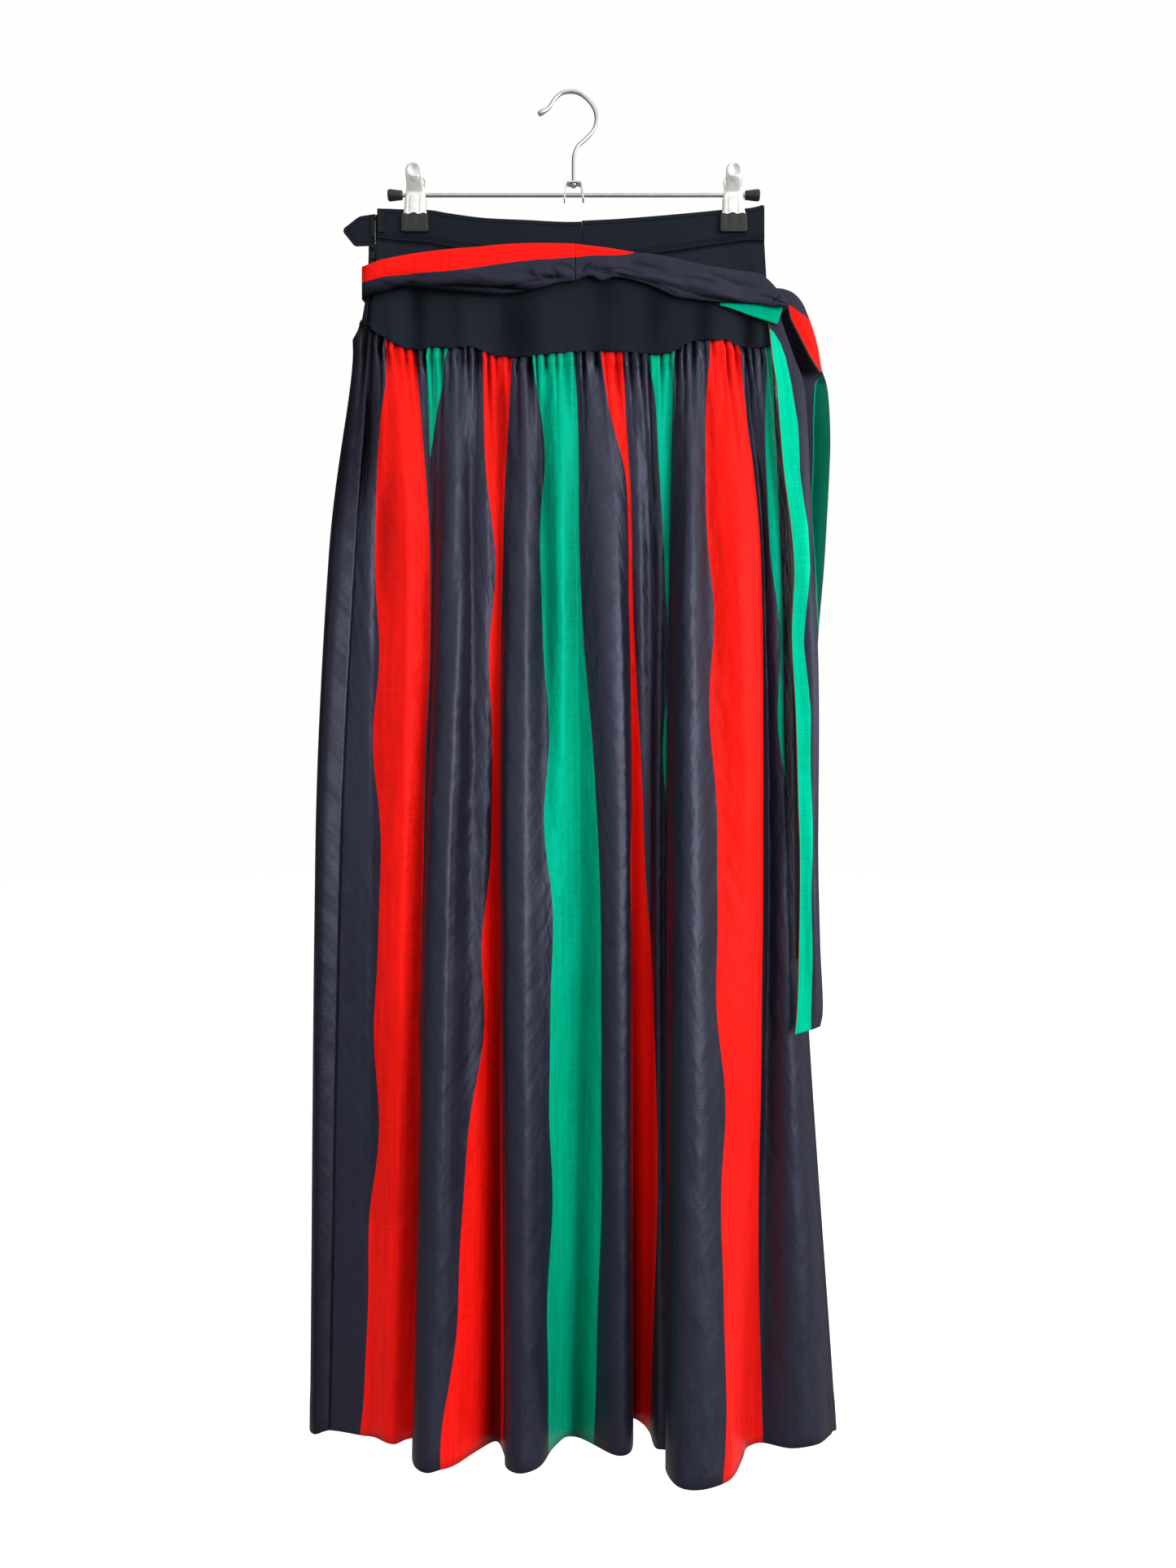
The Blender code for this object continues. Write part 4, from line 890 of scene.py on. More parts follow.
def front_panel(rows, refine):
    """Middle surface of the front skirt panel: rows are distances below the seam."""
    table = np.array(FRONT_FOLDS, float)
    share = np.asarray(rows, float) / PANEL_LENGTH
    seam = yoke_seam_at(table[:, 0])
    x = eased(PANEL_LEVELS, table[:, 0:4].T, share)
    depth = np.vstack([seam[:, 1], table[:, 4:7].T])
    y = eased(PANEL_LEVELS, depth, share)
    lines = np.stack([true_x(x, y), y, 0 * y], axis=2).transpose(1, 0, 2)
    steps = [n * refine for n in gather_steps(table[:, 0], GATHER_HALF_PITCH)]
    grid = across(lines, steps).transpose(1, 0, 2)
    top = straightened(yoke_seam_at(seen_places(grid[0])[0])[:, 0] - GATHER_GAP)
    return hung(grid, top, share)


def back_fold_lines(rows):
    """Points down each fold line of the back panel, the two side seams included."""
    front = front_panel(rows, 1)
    share = np.asarray(rows, float) / PANEL_LENGTH
    table = np.array(BACK_FOLDS, float)
    x = eased(PANEL_LEVELS, table[:, 0:4].T, share)
    y = eased(PANEL_LEVELS, table[:, 4:8].T, share)
    left, right = front[:, 0], front[:, -1]
    x = np.column_stack([left[:, 0] + SIDE_LAP, x, right[:, 0] - SIDE_LAP])
    y = np.column_stack([left[:, 1] + SIDE_BEHIND, y, right[:, 1] + SIDE_BEHIND])
    return np.stack([x, y, 0 * y], axis=2).transpose(1, 0, 2)


def back_panel(rows, refine):
    """Middle surface of the back skirt panel, from the left seam round to the right one."""
    lines = back_fold_lines(rows)
    share = np.asarray(rows, float) / PANEL_LENGTH
    steps = [n * refine for n in gather_steps(lines[:, 0, 0], BACK_GATHER_HALF_PITCH)]
    grid = across(lines, steps).transpose(1, 0, 2)
    return hung(grid, back_seam_at(grid[0, :, 0]) - BACK_SEAM_GAP, share)


def back_band_drop(x):
    """How much lower the back of the waistband hangs than its front at x."""
    return np.interp(x, (BAND[0][0], -120.0), (3.4, 0.5))


def sash_grid(table, shares, steps, true_place=False):
    """Sash surface from a table of x, top z, bottom z and depth."""
    rows = np.array(table, float)
    x, top, bottom, y = (rows[:, i : i + 1] for i in range(4))
    z = top + (bottom - top) * shares
    places = (x, y, z) if true_place else seen(x, z, y)
    lines = np.stack(np.broadcast_arrays(*places), axis=2)
    return across(lines, [steps] * (len(rows) - 1)).transpose(1, 0, 2)


# Shaping


def ramp(value, low, high):
    """Zero at low, one at high, eased between."""
    t = np.clip((value - low) / (high - low), 0.0, 1.0)
    return t * t * (3 - 2 * t)


def creased(grid, creases, out, share=1.0, from_front=True):
    """The grid with soft creases; out is -1 for a front piece and 1 for a back one."""
    normal = facing(grid) * out
    x, z = seen_places(grid) if from_front else (grid[..., 0], grid[..., 2])
    toward = -normal[..., 1] if from_front else normal[..., 1]
    height = np.zeros(x.shape)
    for x0, z0, x1, z1, rise, half in creases:
        length = math.hypot(x1 - x0, z1 - z0)
        ux, uz = (x1 - x0) / length, (z1 - z0) / length
        near = (np.abs(x - (x0 + x1) / 2) < abs(x1 - x0) / 2 + 4 * half) & (
            np.abs(z - (z0 + z1) / 2) < abs(z1 - z0) / 2 + 4 * half
        )
        along = ((x[near] - x0) * ux + (z[near] - z0) * uz) / length
        sway = 0.35 * half * np.sin(along * 5.0 + x0)
        off = ((x[near] - x0) * -uz + (z[near] - z0) * ux + sway) / half
        lean = off / (1.0 + 0.35 * np.tanh(off))
        ends = ramp(along, -0.02, 0.22) * ramp(along, 1.02, 0.55)
        height[near] += rise * share * np.exp(-lean * lean) * ends
    height *= ramp(toward, 0.05, 0.5)
    return grid + normal * height[..., None]


def softened(grid, times):
    """The grid with its depth evened out along each row, a row's share given by how often."""
    for turn in range(int(max(times))):
        share = np.clip(np.asarray(times, float) - turn, 0.0, 1.0)[:, None]
        depth = grid[:, :, 1]
        even = (depth[:, :-2] + 2 * depth[:, 1:-1] + depth[:, 2:]) / 4
        grid[:, 1:-1, 1] = depth[:, 1:-1] * (1 - share) + even * share
    return grid


def in_fold(grid, out, reach=80, deep=8.0):
    """How far each place lies down in a fold, against the cloth either side of it."""
    even = grid[:, :, 1].copy()
    for _ in range(reach):
        even[:, 1:-1] = (even[:, :-2] + 2 * even[:, 1:-1] + even[:, 2:]) / 4
    return np.clip((even - grid[:, :, 1]) * out / deep, 0.0, 1.0)


def in_shade(grid, patches):
    """How far each place lies in some shaded patches, soft at their sides."""
    x, z = seen_places(grid)
    deepest = np.zeros(x.shape)
    for left, right, low, high, deep in patches:
        beside = ramp(x, left - 5.0, left + 5.0) * ramp(x, right + 6.0, right - 6.0)
        within = ramp(z, low - 50.0, low + 50.0) * ramp(z, high + 8.0, high - 8.0)
        deepest = np.maximum(deepest, deep * beside * within)
    return deepest


def in_crease(before, after, out, deep):
    """How far the creases have pressed each place in."""
    return np.clip((before - after)[:, :, 1] * out / deep, 0.0, 1.0)


def columns_by_fold(seam_x, half_pitch):
    """Fold number of each column."""
    numbers = []
    for fold, steps in enumerate(gather_steps(seam_x, half_pitch)):
        numbers += [fold + k / (steps * REFINE) for k in range(steps * REFINE)]
    return np.array(numbers + [len(seam_x) - 1.0])


def gathers(grid, below, depth, out):
    """The grid with its gathers, broad crests and narrow valleys of uneven size, and the painted shade of its
    valleys and under the seam.
    """
    column = np.arange(grid.shape[1]) / REFINE
    turn = np.cos(math.pi * (column + 0.26 * np.sin(column * 1.37) + 0.14 * np.sin(column * 3.1)))
    crest = 1.0 - 2.0 * ((1.0 - turn) / 2.0) ** 1.9
    reach = np.maximum(14.0 + 8.0 * np.sin(column * 1.9) + 6.0 * np.sin(column * 0.73 + 1.0), 5.0)
    size = depth * np.clip(0.8 + 0.3 * np.sin(column * 2.3 + 0.5) + 0.35 * np.sin(column * 0.57), 0.35, 1.3)
    start = np.clip(below / GATHER_PEAK_BELOW_SEAM, -0.3, 1.0)[:, None]
    past = np.maximum(below - GATHER_PEAK_BELOW_SEAM, 0.0)[:, None]
    run_out = np.exp(-((past / reach) ** 0.8))
    fade = np.minimum(np.minimum(column, column[-1] - column) / 2.0, 1.0)
    height = size * (0.35 + 0.65 * start) * run_out * crest
    puff = 1.3 * ramp(below, -1.0, 9.0)[:, None] * np.exp(-past / 22.0)
    # Painted shade: darker in the gather valleys and in a strip just under the yoke seam.
    under_seam = 1.0 - ramp(below, -0.5, 6.0)[:, None]
    painted_shade = np.clip((0.45 - crest) / 1.45, 0.0, 1.0) * run_out * np.clip(size / depth, 0.0, 1.0)
    painted_shade = np.clip(1.1 * painted_shade + 0.5 * under_seam, 0.0, 1.0)
    return grid + facing(grid) * out * ((height + puff) * fade)[..., None], painted_shade


def tucked(grid, below, out):
    """The grid with its rows above the seam moved in behind the yoke."""
    shift = -out * TUCK * (1.0 - ramp(below, -5.0, 2.5))
    grid[:, :, 1] += shift[:, None]
    return grid


def closed(grid):
    """The back panel's grid with its two side edges brought forward against the front panel."""
    for column, part in enumerate((1.0, 0.75, 0.5, 0.25)):
        grid[:, [column, -1 - column], 1] -= 1.5 * SIDE_BEHIND * part
        grid[:, column, 0] -= 0.6 * SIDE_LAP * part
        grid[:, -1 - column, 0] += 0.6 * SIDE_LAP * part
    return grid


def right_end_met(grid, forward):
    """A back piece's grid with its right end brought forward against the front piece."""
    grid[:, -4:, 1] -= forward * np.array((0.25, 0.5, 0.75, 1.0))
    return grid


def hem_ripple(grid, share):
    """The grid with its lower edge slightly uneven."""
    along = np.arange(grid.shape[1]) * 0.1
    low = np.clip(share, 0, 1) ** 14
    grid[:, :, 2] += low[:, None] * (0.7 * np.sin(along * 1.3) + 0.5 * np.sin(along * 3.7 + 1.0))[None, :]
    return grid


def arc_lengths(grid):
    """Distance along each row from its first point."""
    step = np.linalg.norm(np.diff(grid, axis=1), axis=2)
    return np.concatenate([np.zeros((len(grid), 1)), np.cumsum(step, axis=1)], axis=1)


def stripe_field(grid, fold, share, stripes, wave):
    """Signed distance in mm from the nearest edge of some stripes, positive inside them."""
    along = arc_lengths(grid)
    best = np.full(along.shape, -40.0)
    height = share * PANEL_LENGTH
    for left, right, place in stripes:
        left_at, right_at = eased(STRIPE_LEVELS, left, share), eased(STRIPE_LEVELS, right, share)
        swing = np.sin(height * 2 * math.pi / WAVE_LENGTH + place)
        swing += 0.45 * np.sin(height * 2 * math.pi / SHORT_WAVE_LENGTH + 2.0 * place)
        for row in range(len(along)):
            start = np.interp(left_at[row], fold, along[row]) + wave * swing[row]
            end = np.interp(right_at[row], fold, along[row]) + 0.2 * wave * swing[row]
            inside = np.minimum(along[row] - start, end - along[row])
            best[row] = np.maximum(best[row], inside)
    return best


# Cloth pieces


def piece_from(name, points, faces, flat, fields, finish):
    """A mesh piece from points and their flat places in mm, with named fields."""
    mesh = bpy.data.meshes.new(name)
    mesh.from_pydata((points * MM).tolist(), [], faces.tolist())
    mesh.polygons.foreach_set("use_smooth", np.ones(len(mesh.polygons), bool))
    corner = np.zeros(len(mesh.loops), np.int32)
    mesh.loops.foreach_get("vertex_index", corner)
    layer = mesh.uv_layers.new(name="cloth")
    layer.data.foreach_set("uv", (flat[corner] * MM).astype(np.float32).ravel())
    for field, values in fields.items():
        attribute = mesh.attributes.new(field, "FLOAT", "POINT")
        attribute.data.foreach_set("value", np.asarray(values, np.float32).ravel())
    mesh.materials.append(finish)
    made = bpy.data.objects.new(name, mesh)
    bpy.context.scene.collection.objects.link(made)
    return made


def shell(name, grid, thickness, finish, fields=None):
    """A thin closed cloth piece over a grid of points; thickness may be one for each row."""
    rows, cols = grid.shape[:2]
    half = np.broadcast_to(np.asarray(thickness, float).reshape(-1, 1, 1), (rows, 1, 1)) / 2
    offset = facing(grid) * half
    down = np.concatenate([[0], np.cumsum(np.linalg.norm(np.diff(grid, axis=0), axis=2).mean(axis=1))])
    flat = np.stack(np.meshgrid(arc_lengths(grid)[-1], -down), axis=2).reshape(-1, 2)
    points = np.concatenate([(grid - offset).reshape(-1, 3), (grid + offset).reshape(-1, 3)])
    behind = rows * cols
    corner = (np.arange(rows - 1)[:, None] * cols + np.arange(cols - 1)[None, :]).ravel()
    near = np.stack([corner, corner + cols, corner + cols + 1, corner + 1], axis=1)
    far = behind + near[:, ::-1]
    rim = [(0, c) for c in range(cols)]
    rim += [(r, cols - 1) for r in range(1, rows)]
    rim += [(rows - 1, c) for c in range(cols - 2, -1, -1)]
    rim += [(r, 0) for r in range(rows - 2, 0, -1)]
    ring = np.array([r * cols + c for r, c in rim])
    after = np.roll(ring, -1)
    edge = np.stack([ring, after, behind + after, behind + ring], axis=1)
    doubled = {k: np.concatenate([v.ravel(), v.ravel()]) for k, v in (fields or {}).items()}
    faces = np.concatenate([near, far, edge])
    return piece_from(name, points, faces, np.concatenate([flat, flat]), doubled, finish)


def dressed(piece, nodes):
    """The piece riding on the one body, standing for its CAD nodes."""
    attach(piece, "root")
    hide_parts(*nodes)
    return piece


# Finishes


STITCH_PITCH = 0.0027
RANGE_SOCKETS = ("From Min", "From Max", "To Min", "To Max")


class Finish:
    """A material built up node by node."""

    def __init__(self, name, roughness, metallic=0.0):
        self.material = bpy.data.materials.new(name)
        self.material.use_nodes = True
        self.tree = self.material.node_tree
        self.shader = self.tree.nodes["Principled BSDF"]
        self.set("Roughness", roughness)
        self.set("Metallic", metallic)

    def set(self, socket, value):
        """Sets one of the shader's own values."""
        self.shader.inputs[socket].default_value = value

    def node(self, kind, **settings):
        """A new node with its settings."""
        made = self.tree.nodes.new(kind)
        for key, value in settings.items():
            setattr(made, key, value)
        return made

    def feed(self, socket, given):
        """Links an output to a socket, or gives it a value."""
        if isinstance(given, bpy.types.NodeSocket):
            self.tree.links.new(given, socket)
        elif given is not None:
            socket.default_value = given

    def maths(self, operation, a, b=None):
        """One sum on numbers."""
        made = self.node("ShaderNodeMath", operation=operation)
        self.feed(made.inputs[0], a)
        self.feed(made.inputs[1], b)
        return made.outputs[0]

    def total(self, first, *others):
        """The first value plus each other one times its weight."""
        for value, weight in others:
            first = self.maths("ADD", first, self.maths("MULTIPLY", value, weight))
        return first

    def dimmed(self, colour, brightness):
        """A colour times a brightness."""
        grey = self.node("ShaderNodeCombineColor")
        for channel in grey.inputs[:3]:
            self.feed(channel, brightness)
        return self.mixed(1.0, colour, grey.outputs[0], "MULTIPLY")

    def mixed(self, factor, a, b, blend="MIX"):
        """One colour over another."""
        made = self.node("ShaderNodeMix", data_type="RGBA", blend_type=blend)
        self.feed(made.inputs[0], factor)
        self.feed(made.inputs[6], a)
        self.feed(made.inputs[7], b)
        return made.outputs[2]

    def spread(self, value, low, high, to_low, to_high):
        """A value carried from one range to another."""
        made = self.node("ShaderNodeMapRange")
        self.feed(made.inputs["Value"], value)
        for socket, given in zip(RANGE_SOCKETS, (low, high, to_low, to_high)):
            made.inputs[socket].default_value = given
        return made.outputs["Result"]

    def noise(self, vector, stretch, detail=2.0, turn=0.0):
        """Noise with its own scale along each direction, per metre, turned about the normal."""
        mapping = self.node("ShaderNodeMapping", vector_type="TEXTURE")
        mapping.inputs["Scale"].default_value = tuple(1.0 / s for s in stretch)
        mapping.inputs["Rotation"].default_value = (0.0, 0.0, turn)
        self.feed(mapping.inputs["Vector"], vector)
        noise = self.node("ShaderNodeTexNoise")
        noise.inputs["Scale"].default_value = 1.0
        noise.inputs["Detail"].default_value = detail
        self.feed(noise.inputs["Vector"], mapping.outputs["Vector"])
        return noise.outputs["Fac"]

    def threads(self, vector, direction, pitch):
        """Bands of the given pitch in metres."""
        wave = self.node("ShaderNodeTexWave", wave_type="BANDS", bands_direction=direction)
        wave.inputs["Scale"].default_value = 2 * math.pi / (20.0 * pitch)
        wave.inputs["Distortion"].default_value = 0.0
        self.feed(wave.inputs["Vector"], vector)
        return wave.outputs["Fac"]

    def field(self, name):
        """The value of one of the piece's named fields."""
        return self.node("ShaderNodeAttribute", attribute_name=name).outputs["Fac"]

    def relief(self, height, strength, distance):
        """Bumps on the surface."""
        bump = self.node("ShaderNodeBump")
        bump.inputs["Strength"].default_value = strength
        bump.inputs["Distance"].default_value = distance
        self.feed(bump.inputs["Height"], height)
        self.feed(self.shader.inputs["Normal"], bump.outputs["Normal"])


def satin_tint(colour):
    """Colour of the gloss on dyed thread: the dye's own, paler."""
    return tuple((c / max(colour)) ** 0.5 for c in colour) + (1.0,)


def opaque(colour, share=1.0):
    """A colour, or a share of it, with full alpha."""
    return (*[c * share for c in colour], 1.0)


def striped(made, ground, stripes):
    """Colour and gloss tint of a cloth: its ground, and each stripe where its field is positive."""
    colour, tint = opaque(ground), satin_tint(ground)
    for field, stripe in stripes:
        inside = made.spread(made.field(field), -0.25, 0.25, 0.0, 1.0)
        colour = made.mixed(inside, colour, opaque(stripe))
        tint = made.mixed(inside, tint, satin_tint(stripe))
    return colour, tint


def rumpled(made, flat, height, rumple):
    """Height of a cloth with soft rumples in three directions and finer ones over them."""
    soft = made.noise(flat, (46.0, 9.0, 1.0), 1.0)
    for turn in (0.45, -0.6):
        soft = made.maths("ADD", soft, made.noise(flat, (60.0, 14.0, 1.0), 2.0, turn))
    fine = made.noise(flat, (190.0, 70.0, 1.0), 2.0, 0.25)
    return made.total(height, (soft, rumple), (fine, 0.10 * rumple))


def stitched(made, flat, ground, lines, colour, height):
    """Colour and height of a cloth with dashes of thread, sunk in a groove painted darker as shade, where a
    field is near zero.
    """
    line = made.maths("ABSOLUTE", made.field(lines[0]))
    for other in lines[1:]:
        line = made.maths("MINIMUM", line, made.maths("ABSOLUTE", made.field(other)))
    split = made.node("ShaderNodeSeparateXYZ")
    made.feed(split.inputs[0], flat)
    place = made.maths("FRACT", made.maths("DIVIDE", split.outputs[0], STITCH_PITCH))
    dash = made.spread(made.maths("ABSOLUTE", made.maths("SUBTRACT", place, 0.5)), 0.32, 0.42, 1.0, 0.0)
    stitch = made.maths("MULTIPLY", made.spread(line, 0.25, 0.45, 1.0, 0.0), dash)
    groove = made.spread(line, 0.15, 0.75, 1.0, 0.0)
    # Painted shade in the pressed groove beside each stitched line; then the dashes of thread in their own
    # colour.
    colour = made.mixed(made.maths("MULTIPLY", groove, 0.9), colour, opaque(ground, 0.25))
    colour = made.mixed(stitch, colour, opaque(ground, 0.7))
    height = made.total(height, (stitch, 5.0))
    return colour, made.maths("SUBTRACT", height, made.maths("MULTIPLY", groove, 16.0))


def cloth_finish(
    name, ground, roughness, gloss, stripes=(), rumple=0.0, pitch=0.00048, slub=0.12, lines=(), shaded=True
):
    """Woven cloth: stripes, slubs, streaks, rumples, threads, stitched lines and painted shade in folds and
    recesses.
    """
    made = Finish(name, roughness)
    flat = made.node("ShaderNodeUVMap", uv_map="cloth").outputs["UV"]
    weft = made.noise(flat, (50.0, 1100.0, 1.0), 3.0)
    warp = made.noise(flat, (900.0, 26.0, 1.0), 3.0)
    streak = made.noise(flat, (240.0, 9.0, 1.0), 3.0)
    patch = made.noise(flat, (11.0, 5.0, 1.0), 3.0)
    colour, tint = striped(made, ground, stripes)
    shade = made.total(weft, (warp, 0.8), (streak, 1.0), (patch, 0.8))
    tone = made.spread(shade, 1.45, 2.15, 1.0 - slub, 1.0 + slub)
    # Painted shade: the piece's shade field darkens the colour and dims the gloss tint.
    if shaded:
        open_to_light = made.spread(made.field("painted_shade"), 0.0, 1.0, 1.0, 0.06)
        tone = made.maths("MULTIPLY", tone, open_to_light)
        tint = made.dimmed(tint, open_to_light)
    colour = made.dimmed(colour, tone)
    weave = made.maths("ADD", made.threads(flat, "X", pitch), made.threads(flat, "Y", pitch * 1.15))
    height = made.total(made.maths("MULTIPLY", weave, 0.12), (weft, 1.6))
    if rumple:
        height = rumpled(made, flat, height, rumple)
    if lines:
        colour, height = stitched(made, flat, ground, lines, colour, height)
    rough = made.spread(shade, 1.45, 2.15, roughness - 0.06, roughness + 0.06)
    made.feed(made.shader.inputs["Base Color"], colour)
    made.feed(made.shader.inputs["Roughness"], rough)
    made.relief(height, 0.5, 0.00012)
    made.set("Sheen Weight", 0.01)
    made.set("Sheen Roughness", 0.4)
    made.set("Specular IOR Level", gloss)
    made.feed(made.shader.inputs["Specular Tint"], tint)
    return made.material


def steel_finish(name, colour, roughness, grain, metallic=1.0):
    """Plated steel with fine drawn lines and a little dulling."""
    made = Finish(name, roughness, metallic)
    place = made.node("ShaderNodeTexCoord").outputs["Object"]
    lines = made.noise(place, grain, 3.0)
    dull = made.noise(place, (160.0, 160.0, 160.0), 4.0)
    worn = made.mixed(made.spread(dull, 0.35, 0.75, 0.0, 1.0), opaque(colour), opaque(colour, 0.82))
    rough = made.spread(lines, 0.3, 0.7, roughness - 0.06, roughness + 0.10)
    made.feed(made.shader.inputs["Base Color"], worn)
    made.feed(made.shader.inputs["Roughness"], rough)
    made.relief(lines, 0.12, 0.00005)
    return made.material


def rubber_finish(name, colour):
    """Moulded rubber with a fine matt grain and dusty marks."""
    made = Finish(name, 0.5)
    place = made.node("ShaderNodeTexCoord").outputs["Object"]
    grain = made.noise(place, (2600.0, 2600.0, 2600.0), 2.0)
    dust = made.noise(place, (140.0, 140.0, 140.0), 5.0)
    pale = [c * 1.8 + 0.002 for c in colour]
    dusty = made.mixed(made.spread(dust, 0.45, 0.8, 0.0, 0.7), opaque(colour), opaque(pale))
    made.feed(made.shader.inputs["Base Color"], dusty)
    made.feed(made.shader.inputs["Roughness"], made.spread(dust, 0.3, 0.7, 0.42, 0.58))
    made.relief(grain, 0.15, 0.00008)
    return made.material


def finish_named(name):
    """The finish of that name, made the first time it is asked for."""
    found = bpy.data.materials.get(name)
    if found:
        return found
    cloth, hanger = bpy.context.scene.cloth_look, bpy.context.scene.hanger_look
    navy, red, green, yoke = tuple(cloth.navy), tuple(cloth.red), tuple(cloth.green), tuple(cloth.yoke)
    both = (("red", red), ("green", green))
    if name == "striped_sateen":
        return cloth_finish(name, navy, 0.40, 0.55, both, 22.0, slub=0.20)
    if name == "sash_sateen":
        return cloth_finish(name, navy, 0.48, 0.40, (("red", red),), 12.0, slub=0.16)
    if name == "tail_sateen":
        bright = (("red", red), ("green", tuple(c * 1.6 for c in green)), ("edge", PIPED_EDGE))
        return cloth_finish(name, navy, 0.44, 0.45, bright, 10.0, slub=0.18)
    if name == "green_sateen":
        return cloth_finish(name, green, 0.46, 0.34, shaded=False)
    if name == "yoke_cloth":
        return cloth_finish(name, yoke, 0.72, 0.22, (), 3.5, 0.0006, 0.16)
    if name == "band_cloth":
        return cloth_finish(name, yoke, 0.78, 0.20, (), 0.0, 0.0006, 0.16, BAND_LINES)
    if name == "tab_cloth":
        return cloth_finish(name, yoke, 0.78, 0.20, (), 0.0, 0.0006, 0.16, ("stitch",), False)
    if name == "zip_tape_weave":
        return cloth_finish(name, (0.006, 0.006, 0.008), 0.7, 0.25, pitch=0.0008, slub=0.2, shaded=False)
    if name == "polished_steel":
        return steel_finish(name, tuple(hanger.steel), 0.20, (90.0, 900.0, 2600.0))
    if name == "satin_steel":
        pale = tuple(min(1.0, c * 1.45) for c in hanger.steel)
        return steel_finish(name, pale, 0.30, (2600.0, 900.0, 60.0), 0.62)
    if name == "dull_plating":
        return steel_finish(name, (0.017, 0.018, 0.0175), 0.34, (400.0, 400.0, 400.0), 0.9)
    if name == "black_rubber_grain":
        return rubber_finish(name, tuple(hanger.rubber))
    raise ValueError(f"no finish is named {name}")


# Skirt panels


def panel_thickness(below, single):
    """Cloth thickness down a panel, doubled where the hem is turned up."""
    return single * (1.0 + 1.1 * ramp(below, PANEL_LENGTH - HEM_TURN - 1.0, PANEL_LENGTH - HEM_TURN))


def stripe_fields(grid, fold, share, red, green, look):
    """The fields of a panel's red and green stripes."""
    stripes = {"red": red, "green": green}
    return {name: stripe_field(grid, fold, share, stripes[name], look.wave / MM) for name in stripes}


def panel_cloth(side, grid, below, out, fields, painted_shade, look):
    """A skirt panel from its shaped grid, tucked in above the seam and rippled at the hem."""
    fields["painted_shade"] = np.clip(painted_shade, 0.0, 1.0)
    grid = hem_ripple(tucked(grid, below, out), below / PANEL_LENGTH)
    thickness = panel_thickness(below, look.thickness / MM)
    made = shell(f"skirt_{side}_cloth", grid, thickness, finish_named("striped_sateen"), fields)
    return dressed(made, [f"skirt_{side}"])


def skirt_front_cloth(look):
    """The gathered front panel with its stripes."""
    below = np.array([*TUCKED_ROWS, *np.arange(0.0, 60.0, 3.0), *np.linspace(60.0, PANEL_LENGTH, 94)])
    share = below / PANEL_LENGTH
    grid = front_panel(below, REFINE)
    fold = columns_by_fold([row[0] for row in FRONT_FOLDS], GATHER_HALF_PITCH)
    fields = stripe_fields(grid, fold, share, FRONT_RED, FRONT_GREEN, look)
    times = np.interp(share, (0.0, 0.1, 0.3, 0.6, 0.85, 1.0), (10.0, 16.0, 16.0, 9.0, 5.0, 1.5))
    grid = softened(grid, times)
    folds = in_fold(grid, -1)
    smooth, painted_shade = gathers(grid, below, look.gather_depth / MM, -1)
    grid = creased(smooth, SKIRT_CREASES, -1, look.crease_share)
    # Painted shade: darker in the gather valleys, down in the folds (less by the first fold's left edge), in
    # the creases and in the shaded patches.
    folds *= 0.9 - 0.5 * ramp(seen_places(smooth)[0], -108.0, -126.0)
    painted_shade = painted_shade + folds + 0.5 * in_crease(smooth, grid, -1, 1.5) + in_shade(grid, FRONT_SHADE)
    return panel_cloth("front", grid, below, -1, fields, painted_shade, look)


def skirt_back_cloth(look):
    """The gathered back panel with its stripes."""
    below = np.array([*TUCKED_ROWS, *np.arange(0.0, 60.0, 4.0), *np.linspace(60.0, PANEL_LENGTH, 76)])
    grid = back_panel(below, REFINE)
    fold = columns_by_fold(back_fold_lines(below)[:, 0, 0], BACK_GATHER_HALF_PITCH)
    fields = stripe_fields(grid, fold, below / PANEL_LENGTH, BACK_RED, BACK_GREEN, look)
    folds = in_fold(grid, 1)
    smooth, painted_shade = gathers(grid, below, look.gather_depth / MM, 1)
    grid = creased(smooth, BACK_CREASES, 1, look.crease_share, from_front=False)
    # Painted shade: darker in the gather valleys, down in the folds, in the creases and on the sides in the
    # upper part.
    painted_shade = painted_shade + 0.8 * folds + 0.5 * in_crease(smooth, grid, 1, 1.5)
    at_side = ramp(grid[:, :, 1], 16.0, 2.0) * ramp(grid[:, :, 2], -420.0, -300.0)
    return panel_cloth("back", closed(grid), below, 1, fields, painted_shade + 0.5 * at_side, look)


# Yoke


def yoke_front_grid(shares, refine):
    """Front yoke surface between the waistband and the gathered seam."""
    low_x = seen_places(front_panel((0.0,), refine)[0])[0]
    part = (low_x - low_x[0]) / (low_x[-1] - low_x[0])
    high_x = YOKE_TOP_LEFT + (YOKE_TOP_RIGHT - YOKE_TOP_LEFT) * part
    station = band_at(np.clip(high_x, BAND[0][0], BAND[-1][0]))
    seam = yoke_seam_at(low_x)
    share = np.array(shares)[:, None]
    y = station[:, 3] + (seam[:, 1] - station[:, 3]) * (share * share * (3 - 2 * share))
    x = high_x + (low_x - high_x) * share
    top = station[:, 1] - BAND_GAP
    return np.stack([true_x(x, y), y, top + (seam[:, 0] - top) * share], axis=2)


